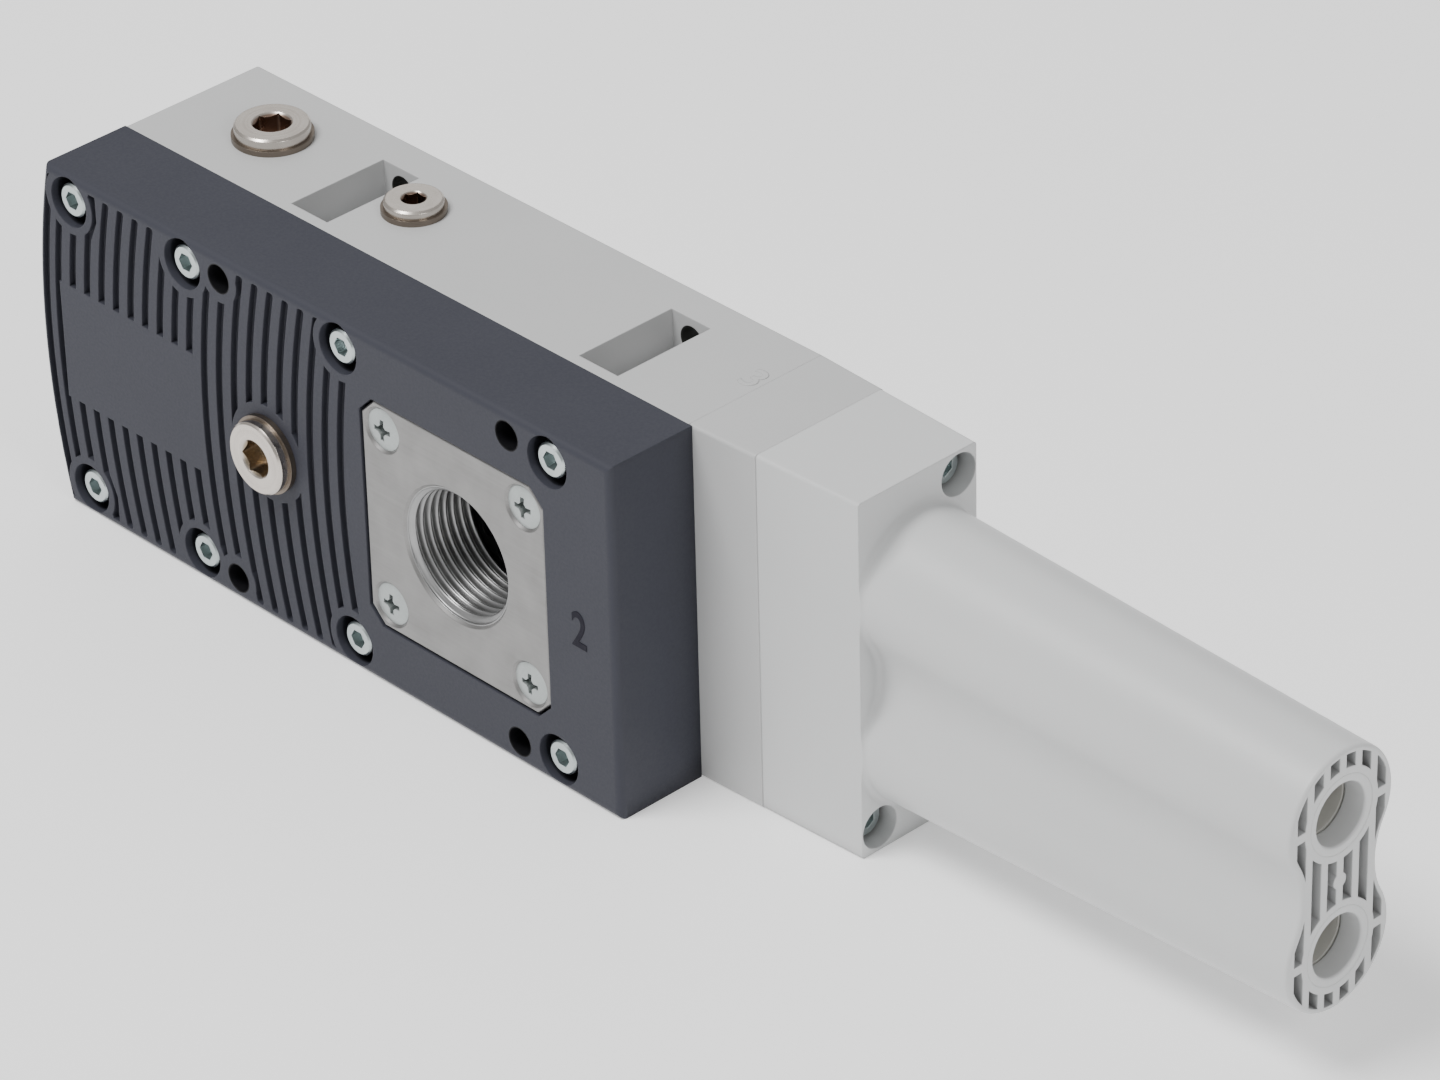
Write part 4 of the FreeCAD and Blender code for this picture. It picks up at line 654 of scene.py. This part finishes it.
# Plugs: nickel with a warm cast and rings from turning, one finish for each plug's own axis. A painted
# brown shade darkens the sockets, lighter in the front plug than in the two on top.
NICKEL_STEEL = WorkedMetal(
    "nickel_plated_turned_steel_front", body_hex="#D3CCC4", shade_hex="#A79E95", roughness=0.25,
    lay=Lay.TURNED, line_mm=0.7, line_height_mm=0.012, edge_mm=0.2,
    centre_mm=axis_foot("front_plug", Axis.Y), spin=Axis.Y, socket_mm=4.5, socket_shade_hex="#A39684")
NICKEL_STEEL_SUPPLY = replace(
    NICKEL_STEEL, name="nickel_plated_turned_steel_supply",
    centre_mm=axis_foot("supply_plug", Axis.Z), spin=Axis.Z, socket_shade_hex="#8A7568")
NICKEL_STEEL_GAUGE = replace(
    NICKEL_STEEL, name="nickel_plated_turned_steel_gauge",
    centre_mm=axis_foot("gauge_plug", Axis.Z), spin=Axis.Z, socket_mm=2.9, socket_shade_hex="#8A7568")
# Inserts and drive nozzles: yellow brass straight from the lathe.
TURNED_BRASS = WorkedMetal(
    "turned_brass", body_hex="#C9A55A", shade_hex="#A98643", roughness=0.30,
    lay=Lay.TURNED, line_mm=0.4, line_height_mm=0.006, edge_mm=0.1)
# Plug rings: thinly plated brass, browner than the plugs and stained at the rim.
PLATED_RING = WorkedMetal(
    "nickel_plated_brass_ring", body_hex="#82786E", shade_hex="#5D554D", roughness=0.38,
    lay=Lay.TURNED, line_mm=0.4, line_height_mm=0.006, edge_mm=0.15)
# Gaskets, flaps and seals: near-black rubber, dull, with a faint grey bloom.
NITRILE_RUBBER = Elastomer(
    "moulded_nitrile_rubber_black", body_hex="#141415", bloom_hex="#222224", bloom_mm=6.0)
# Absorbers: undyed felt, matt and streaky.
WOOL_FELT = PressedFelt("pressed_felt_natural", body_hex="#BDB7A6", gap_hex="#8F8978", fibre_mm=0.6)


def material_of(finish: Finish) -> bpy.types.Material:
    """The finish's material, built when it is first asked for."""
    return bpy.data.materials.get(finish.name) or finish.material()


def dress(nodes: tuple[str, ...], finish: Finish) -> None:
    """Gives CAD nodes one finish.

    Args:
        nodes: Names of the nodes.
        finish: Finish whose material they all share.
    """
    material = material_of(finish)
    for name in nodes:
        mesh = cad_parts[name].data
        mesh.materials.clear()
        mesh.materials.append(material)
        LOG.info("%s: %s", name, finish.name)


def seat_piece(name: str, mesh: bpy.types.Mesh, finish: Finish) -> bpy.types.Object:
    """Dresses a new mesh and lets it ride on the root body.

    Args:
        name: Name of the piece.
        mesh: Mesh in row coordinates.
        finish: Finish of the piece.

    Returns:
        The new object.
    """
    mesh.materials.append(material_of(finish))
    mesh.update()
    piece = bpy.data.objects.new(name, mesh)
    bpy.context.scene.collection.objects.link(piece)
    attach(piece, "root")
    LOG.info("%s: %d faces", name, len(mesh.polygons))
    return piece


def seat_surface(name: str, points: np.ndarray, quads: np.ndarray, finish: Finish) -> bpy.types.Object:
    """Makes a smooth mesh of a grid and seats it.

    Args:
        name: Name of the piece.
        points: Vertices, one row of three metres each.
        quads: Faces, one row of four vertex numbers each.
        finish: Finish of the piece.

    Returns:
        The new object.
    """
    mesh = bpy.data.meshes.new(name)
    mesh.from_pydata(points.tolist(), [], quads.tolist())
    mesh.polygons.foreach_set("use_smooth", np.ones(len(quads), bool))
    return seat_piece(name, mesh, finish)


def wrapped_quads(rows: int, columns: int) -> np.ndarray:
    """Quads of a grid that closes on itself both ways.

    The last row and column are followed by the first, so that the surface is a closed ring.

    Args:
        rows: Number of grid rows.
        columns: Number of grid columns.

    Returns:
        One row of four vertex numbers for each quad.
    """
    row, column = np.meshgrid(np.arange(rows), np.arange(columns), indexing="ij")
    next_row, next_column = (row + 1) % rows, (column + 1) % columns
    corners = [row * columns + column, row * columns + next_column,
               next_row * columns + next_column, next_row * columns + column]
    return np.stack(corners, axis=-1).reshape(-1, 4)


def turned_points(along: np.ndarray, angle: np.ndarray, radius: np.ndarray, mouth: Point,
                  inward: Point) -> np.ndarray:
    """Vertices of a surface wound round an axis.

    Each is the mouth, plus the way along the axis, plus the radius times the angle's cosine to one
    side and its sine up.

    Args:
        along: Way along the axis from the mouth, one value for each vertex.
        angle: Angle round the axis, in the same shape.
        radius: Distance from the axis, in the same shape.
        mouth: Point on the axis, in millimetres.
        inward: Axis as a unit vector, not along Z.

    Returns:
        One row of three metres for each vertex.
    """
    way = np.array(inward)
    up = np.array(Axis.Z.value)
    side = np.cross(way, up)
    points = (np.array(mouth) + along[..., None] * way
              + (radius * np.cos(angle))[..., None] * side + (radius * np.sin(angle))[..., None] * up)
    return points.reshape(-1, 3) * MM


@dataclass
class FemaleThread:
    """Pipe thread in a hole: a closed ring whose inner side is the helical ridge.

    Args:
        name: Name of the piece.
        mouth: Point on the hole's axis where the thread starts, in millimetres.
        inward: Axis of the hole and its sign, as a unit vector into the hole.
        major_radius: Radius at the thread's roots, which is the hole's wall.
        depth: Height of the ridge.
        pitch: Distance between neighbouring crests.
        length: Length of the thread along the hole.
        clearance: Gap that keeps the roots off the hole's wall.
        wall: How far the ring's back lies inside the metal.
        run_out: Share of a pitch over which the ridge fades at both ends.
        fullness: Power of the ridge's wave: the lower it is, the broader are the crests.
    """

    name: str
    mouth: Point
    inward: Point
    major_radius: float
    depth: float
    pitch: float
    length: float
    clearance: float = 0.02
    wall: float = 0.3
    run_out: float = 0.5
    fullness: float = 0.8

    def surface(self, around: int = 144, per_pitch: int = 14) -> tuple[np.ndarray, np.ndarray]:
        """Works out the ring.

        The wave at distance s and angle a is half of one plus the cosine of a full turn for each pitch
        of s, less a. The inner radius is the major radius, less the clearance, less the depth times the
        wave raised to the fullness. The ridge fades out towards both ends. Two rows behind it close
        the ring.

        Args:
            around: Number of points round the hole.
            per_pitch: Number of rows in each pitch.

        Returns:
            The vertices and the quads.
        """
        rows = int(self.length / self.pitch * per_pitch)
        along = np.linspace(0.0, self.length, rows)
        angle = np.linspace(0.0, 2 * np.pi, around, endpoint=False)
        s, a = np.meshgrid(along, angle, indexing="ij")
        fade = np.clip(np.minimum(s, self.length - s) / (self.run_out * self.pitch), 0.0, 1.0)
        wave = 0.5 + 0.5 * np.cos(2 * np.pi * s / self.pitch - a)
        radius = self.major_radius - self.clearance - self.depth * fade * wave ** self.fullness
        back_s = np.array([[self.length], [0.0]]) * np.ones((1, around))
        s = np.vstack([s, back_s])
        a = np.vstack([a, a[:2]])
        radius = np.vstack([radius, np.full((2, around), self.major_radius + self.wall)])
        return turned_points(s, a, radius, self.mouth, self.inward), wrapped_quads(rows + 2, around)

    def build(self, finish: Finish, slot: str) -> bpy.types.Object:
        """Adds the thread to the scene, in a finish. The slot is not used."""
        points, quads = self.surface()
        return seat_surface(self.name, points, quads, finish)


@dataclass
class PortNumber:
    """Plain port number, a thin raised figure on a face.

    Args:
        name: Name of the piece.
        figure: The digit.
        centre: Middle of the figure on the face, in millimetres.
        right: Reading direction.
        up: Direction of the figure's top.
        height: Height of the figure in millimetres.
        width: Width of the figure in millimetres.
        relief: How far the figure stands off the face. As much of it lies below.
        swell: How far its strokes are thickened, as a share of the letter's size.
        blank: Half the thickness that the figure is cut from, before it is stretched to its relief.
    """

    name: str
    figure: str
    centre: Point
    right: Point
    up: Point
    height: float
    width: float
    relief: float = 0.12
    swell: float = 0.012
    blank: float = 0.05

    def outline(self) -> bpy.types.Mesh:
        """Cuts the digit out as a flat mesh of no set size.

        Returns:
            The mesh.
        """
        curve = bpy.data.curves.new(self.name + "_outline", "FONT")
        curve.body = self.figure
        curve.extrude = self.blank
        curve.offset = self.swell
        text = bpy.data.objects.new(self.name + "_outline", curve)
        bpy.context.scene.collection.objects.link(text)
        mesh = bpy.data.meshes.new_from_object(text.evaluated_get(bpy.context.evaluated_depsgraph_get()))
        bpy.data.objects.remove(text)
        mesh.name = self.name
        return mesh

    def build(self, finish: Finish, slot: str) -> bpy.types.Object:
        """Stretches the digit to size and sets it on its face.

        Each vertex goes to the centre plus its share of the box, from minus a half to a half, times
        the width to the right, the height upwards and twice the relief outwards.

        Args:
            finish: Finish of the figure.
            slot: Not used.

        Returns:
            The new object.
        """
        mesh = self.outline()
        flat = np.zeros(len(mesh.vertices) * 3)
        mesh.vertices.foreach_get("co", flat)
        flat = flat.reshape(-1, 3)
        low, high = flat.min(0), flat.max(0)
        share = (flat - (low + high) / 2) / (high - low)
        right, up = np.array(self.right), np.array(self.up)
        out = np.cross(right, up)
        points = (np.array(self.centre) + share[:, :1] * self.width * right + share[:, 1:2] * self.height * up
                  + share[:, 2:] * 2 * self.relief * out)
        mesh.vertices.foreach_set("co", (points * MM).ravel())
        return seat_piece(self.name, mesh, finish)


@dataclass
class SuctionSide:
    """Cover, port plate and what is fixed to them, with sizes in millimetres."""

    number_centre: Point = (69.2, -65.0, -0.6)
    number_height: float = 9.2
    number_width: float = 4.6
    thread_start: float = 0.6
    thread_radius: float = 16.62
    thread_length: float = 18.7
    thread_pitch: float = 2.309
    thread_depth: float = 1.42

    def build(self) -> None:
        """Dresses the cover's nodes and adds the G1 thread and the port's number."""
        dress(("cover",), ANTHRACITE_POLYAMIDE)
        dress(("port_plate",), MILLED_ALUMINIUM)
        dress(("cover_screws",), ZINC_STEEL)
        dress(("port_plate_screws",), ZINC_STEEL_DULL)
        dress(("cover_screw_inserts", "port_screw_inserts"), TURNED_BRASS)
        dress(("inlet_sieve",), BLACK_ACETAL)
        dress(("port_seal", "cover_gasket"), NITRILE_RUBBER)
        dress(("front_plug",), NICKEL_STEEL)
        dress(("front_plug_seal",), PLATED_RING)
        middle = middle_mm("port_plate")
        mouth = (middle.x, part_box("port_plate")[0].y / MM + self.thread_start, middle.z)
        thread = FemaleThread("suction_port_thread", mouth, Axis.Y.value, self.thread_radius,
                              self.thread_depth, self.thread_pitch, self.thread_length)
        thread.build(CUT_ALUMINIUM, "port_plate")
        number = PortNumber("suction_port_number", "2", self.number_centre, Axis.X.value, Axis.Z.value,
                            self.number_height, self.number_width)
        number.build(PAINTED_SHADE_ANTHRACITE, "cover")


@dataclass
class NozzleHousing:
    """Housing with its valve plate, nozzles, plugs and supply port, with sizes in millimetres."""

    number_centre: Point = (76.2, -17.5, 45.75)
    number_height: float = 7.4
    number_width: float = 4.2
    supply_chamfer: float = 0.8
    supply_radius: float = 6.58
    supply_length: float = 13.1
    supply_pitch: float = 1.337
    supply_depth: float = 0.85

    def build(self) -> None:
        """Dresses the housing's nodes and adds the G1/4 supply thread and the second number."""
        dress(("housing",), GREY_POLYAMIDE)
        dress(("supply_plug",), NICKEL_STEEL_SUPPLY)
        dress(("gauge_plug",), NICKEL_STEEL_GAUGE)
        dress(("supply_plug_seal", "gauge_plug_seal"), PLATED_RING)
        dress(("valve_plate",), ROLLED_ALUMINIUM)
        dress(("chamber_gasket", "second_stage_flaps", "third_stage_flaps"), NITRILE_RUBBER)
        dress(("flap_rivets",), BLACK_ACETAL)
        dress(("upper_drive_nozzle", "lower_drive_nozzle"), TURNED_BRASS)
        stages = ("second", "third", "outlet")
        moulded = tuple(f"{row}_{stage}_nozzle" for row in ("upper", "lower") for stage in stages)
        dress(moulded, NATURAL_ACETAL)
        dress(tuple(f"{stage}_nozzle_seals" for stage in ("drive", *stages)), NITRILE_RUBBER)
        middle = middle_mm("housing")
        mouth = (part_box("housing")[0].x / MM + self.supply_chamfer, middle.y, middle.z)
        thread = FemaleThread("supply_port_thread", mouth, Axis.X.value, self.supply_radius,
                              self.supply_depth, self.supply_pitch, self.supply_length)
        thread.build(GREY_POLYAMIDE, "housing")
        number = PortNumber("exhaust_port_number", "3", self.number_centre, Axis.X.value, Axis.Y.value,
                            self.number_height, self.number_width)
        number.build(GREY_POLYAMIDE, "housing")


@dataclass
class OutletLining:
    """Collar moulded in an outlet's mouth, a closed ring that narrows the bore to its visible size.

    Args:
        name: Name of the piece.
        mouth: Point on the bore's axis in the ring's face, in millimetres.
        bore_radius: Radius of the narrowed bore.
        seat_radius: Radius of the wall that it sits on.
        seat_chamfer: Chamfer of that wall's mouth, which the ring fills.
        depth: Length of the ring.
        round_over: Radius of the ring's inner edge.
        overlap: How far the ring reaches into the wall.
        inner_land: Distance of the row that keeps the bore's shading crisp from its inner end.
        outer_land: Distance of the row that keeps the face's shading crisp from its rim.
    """

    name: str
    mouth: Point
    bore_radius: float = 7.4
    seat_radius: float = 8.8
    seat_chamfer: float = 0.7
    depth: float = 5.85
    round_over: float = 0.6
    overlap: float = 0.02
    inner_land: float = 0.2
    outer_land: float = 0.1

    def section(self, steps: int = 6) -> np.ndarray:
        """Closed outline of the ring: rounded inner edge, bore, inner end, seat, chamfer and face.

        On the rounded edge the way inwards is its radius times one less the cosine of an angle, and the
        distance beyond the bore is its radius times one less the sine.

        Args:
            steps: Number of points on the rounded edge.

        Returns:
            The way along the axis and the radius, one row for each point.
        """
        turn = np.linspace(0.0, math.pi / 2, steps)
        edge = self.round_over * np.stack([1 - np.cos(turn), 1 - np.sin(turn)], axis=1)
        bore = [(self.depth - self.inner_land, 0.0), (self.depth, 0.0)]
        seat = self.seat_radius + self.overlap
        rim = seat + self.seat_chamfer
        back = [(self.depth, seat), (self.seat_chamfer, seat), (0.0, rim), (0.0, rim - self.outer_land)]
        return np.vstack([np.vstack([edge, bore]) + [0.0, self.bore_radius], back])

    def build(self, finish: Finish, slot: str, around: int = 120) -> bpy.types.Object:
        """Turns the section round the axis.

        Args:
            finish: Finish of the ring.
            slot: Not used.
            around: Number of points round the axis.

        Returns:
            The new object.
        """
        section = self.section()
        turn = np.linspace(0.0, 2 * np.pi, around, endpoint=False)
        along = np.repeat(section[:, :1], around, axis=1)
        radius = np.repeat(section[:, 1:], around, axis=1)
        angle = np.tile(turn, (len(section), 1))
        points = turned_points(along, angle, radius, self.mouth, (-1.0, 0.0, 0.0))
        return seat_surface(self.name, points, wrapped_quads(len(section), around), finish)


@dataclass
class ExhaustSide:
    """Exhaust block, silencer and their fixings.

    Args:
        face_setback: How far the outlet collars lie behind the silencer's end, in millimetres.
    """

    face_setback: float = 0.04

    def build(self) -> None:
        """Dresses the exhaust's nodes and lines the two outlets."""
        dress(("exhaust_block",), GREY_POLYAMIDE)
        dress(("silencer_housing",), SILENCER_POLYAMIDE)
        dress(("block_screws", "silencer_screws"), ZINC_STEEL)
        dress(("end_screw_inserts",), TURNED_BRASS)
        dress(("exhaust_block_gasket", "silencer_gasket"), NITRILE_RUBBER)
        dress(("upper_absorber", "lower_absorber"), WOOL_FELT)
        dress(("upper_inner_tube", "lower_inner_tube"), OFF_WHITE_ACETAL)
        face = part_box("silencer_housing")[1].x / MM - self.face_setback
        for row in ("upper", "lower"):
            middle = middle_mm(f"{row}_inner_tube")
            collar = OutletLining(f"{row}_outlet_collar", (face, middle.y, middle.z))
            collar.build(SILENCER_POLYAMIDE, "silencer")


@dataclass(frozen=True)
class Softbox:
    """Square area light aimed at the part's middle.

    Args:
        name: Name of the light.
        place: Position in metres.
        side: Side of the square in metres.
        watts: Power of the light.
    """

    name: str
    place: Point
    side: float
    watts: float

    def hang(self) -> None:
        """Adds the light to the scene."""
        data = bpy.data.lights.new(self.name, "AREA")
        data.size = self.side
        data.energy = self.watts
        lamp = bpy.data.objects.new(self.name, data)
        target = (CAD_BOX[0] + CAD_BOX[1]) / 2
        lamp.location = Vector(self.place)
        lamp.rotation_euler = (target - lamp.location).to_track_quat("-Z", "Y").to_euler()
        bpy.context.scene.collection.objects.link(lamp)


@dataclass
class Studio:
    """Pale floor, soft lights and the camera at the photograph's angle.

    Args:
        floor_side: Side of the floor in metres.
        floor_hex: Colour of the floor.
        speck_hex: Colour of its faint specks.
        speck_mm: Size of the specks.
        floor_roughness: Roughness of the painted board.
        floor_glow: Strength of the light that comes through it.
        sky_hex: Colour of the light from all round.
        sky_strength: Strength of that light.
        softboxes: The area lights.
        camera_place: Position of the camera in millimetres.
        camera_yaw: Turn of its sight about Z, in degrees from +Y.
        camera_pitch: How far it looks down, in degrees.
        camera_roll: Roll about its line of sight, in degrees.
        lens_mm: Focal length.
        sensor_mm: Width of the film.
        sight: How far it sees, in metres.
    """

    floor_side: float = 6.0
    floor_hex: str = "#FBFBFB"
    speck_hex: str = "#F9F9F9"
    speck_mm: float = 60.0
    floor_roughness: float = 0.8
    floor_glow: float = 0.3
    sky_hex: str = "#FFFFFF"
    sky_strength: float = 0.5
    softboxes: tuple[Softbox, ...] = (
        Softbox("key_softbox", place=(-0.3, -0.9, 1.8), side=0.8, watts=40.0),
        Softbox("silencer_softbox", place=(1.7, -0.3, 1.2), side=0.6, watts=8.0),
        Softbox("back_softbox", place=(-0.9, 0.9, 1.3), side=1.0, watts=3.0),
    )
    camera_place: Point = (1038.141, -928.188, 850.462)
    camera_yaw: float = -46.92875
    camera_pitch: float = 32.57053
    camera_roll: float = -1.46788
    lens_mm: float = 178.28
    sensor_mm: float = 36.0
    sight: float = 100.0

    def board(self) -> bpy.types.Material:
        """White painted board: matt, faintly specked, lit from beneath like a light table.

        Returns:
            The finished material.
        """
        made = blank_material("painted_board_white")
        at = add_node(made, "ShaderNodeTexCoord")
        specks = add_node(made, "ShaderNodeTexNoise", {"Scale": per_metre(self.speck_mm), "Detail": 2.0},
                          {"Vector": (at, "Object")})
        tone = add_node(made, "ShaderNodeMix", both_tones(self.floor_hex, self.speck_hex),
                        {SHARE: (specks, 0)})
        glow = {"Roughness": self.floor_roughness, "Emission Color": linear(self.floor_hex),
                "Emission Strength": self.floor_glow}
        shader = add_node(made, "ShaderNodeBsdfPrincipled", glow, {"Base Color": (tone, MIXED_COLOUR)})
        add_node(made, "ShaderNodeOutputMaterial", links={"Surface": (shader, 0)})
        return made

    def floor(self) -> None:
        """Lays a flat square under the part."""
        half = self.floor_side / 2
        level = CAD_BOX[0].z
        corners = ((-half, -half), (half, -half), (half, half), (-half, half))
        points = np.array([(x, y, level) for x, y in corners])
        mesh = bpy.data.meshes.new("studio_floor")
        mesh.from_pydata(points.tolist(), [], [(0, 1, 2, 3)])
        mesh.materials.append(self.board())
        board = bpy.data.objects.new("studio_floor", mesh)
        bpy.context.scene.collection.objects.link(board)

    def sky(self) -> None:
        """Gives even white light from all round."""
        world = bpy.data.worlds.new("soft_white_room")
        world.use_nodes = True
        back = world.node_tree.nodes["Background"]
        back.inputs["Color"].default_value = linear(self.sky_hex)
        back.inputs["Strength"].default_value = self.sky_strength
        bpy.context.scene.world = world

    def camera(self) -> None:
        """Sets a long-lens camera, turned by yaw, then pitch, then roll about its own line of sight."""
        yaw, pitch, roll = (math.radians(v) for v in (self.camera_yaw, self.camera_pitch, self.camera_roll))
        ahead = Vector((math.sin(yaw) * math.cos(pitch), math.cos(yaw) * math.cos(pitch), -math.sin(pitch)))
        level = Vector((math.cos(yaw), -math.sin(yaw), 0.0))
        above = level.cross(ahead)
        right = level * math.cos(roll) + above * math.sin(roll)
        up = above * math.cos(roll) - level * math.sin(roll)
        data = bpy.data.cameras.new("photo_camera")
        data.lens = self.lens_mm
        data.sensor_width = self.sensor_mm
        data.clip_end = self.sight
        eye = bpy.data.objects.new("photo_camera", data)
        turn = Matrix((right, up, -ahead)).transposed().to_4x4()
        eye.matrix_world = Matrix.Translation(Vector(self.camera_place) * MM) @ turn
        bpy.context.scene.collection.objects.link(eye)
        bpy.context.scene.camera = eye

    def build(self) -> None:
        """Sets up floor, light and camera."""
        self.floor()
        self.sky()
        for softbox in self.softboxes:
            softbox.hang()
        self.camera()


def main() -> None:
    """Builds every class in order."""
    logging.basicConfig(level=logging.INFO, format="%(message)s")
    for part in (SuctionSide(), NozzleHousing(), ExhaustSide(), Studio()):
        part.build()
        LOG.info("%s done", type(part).__name__)
    bpy.context.view_layer.update()


if __name__ == "__main__":
    main()
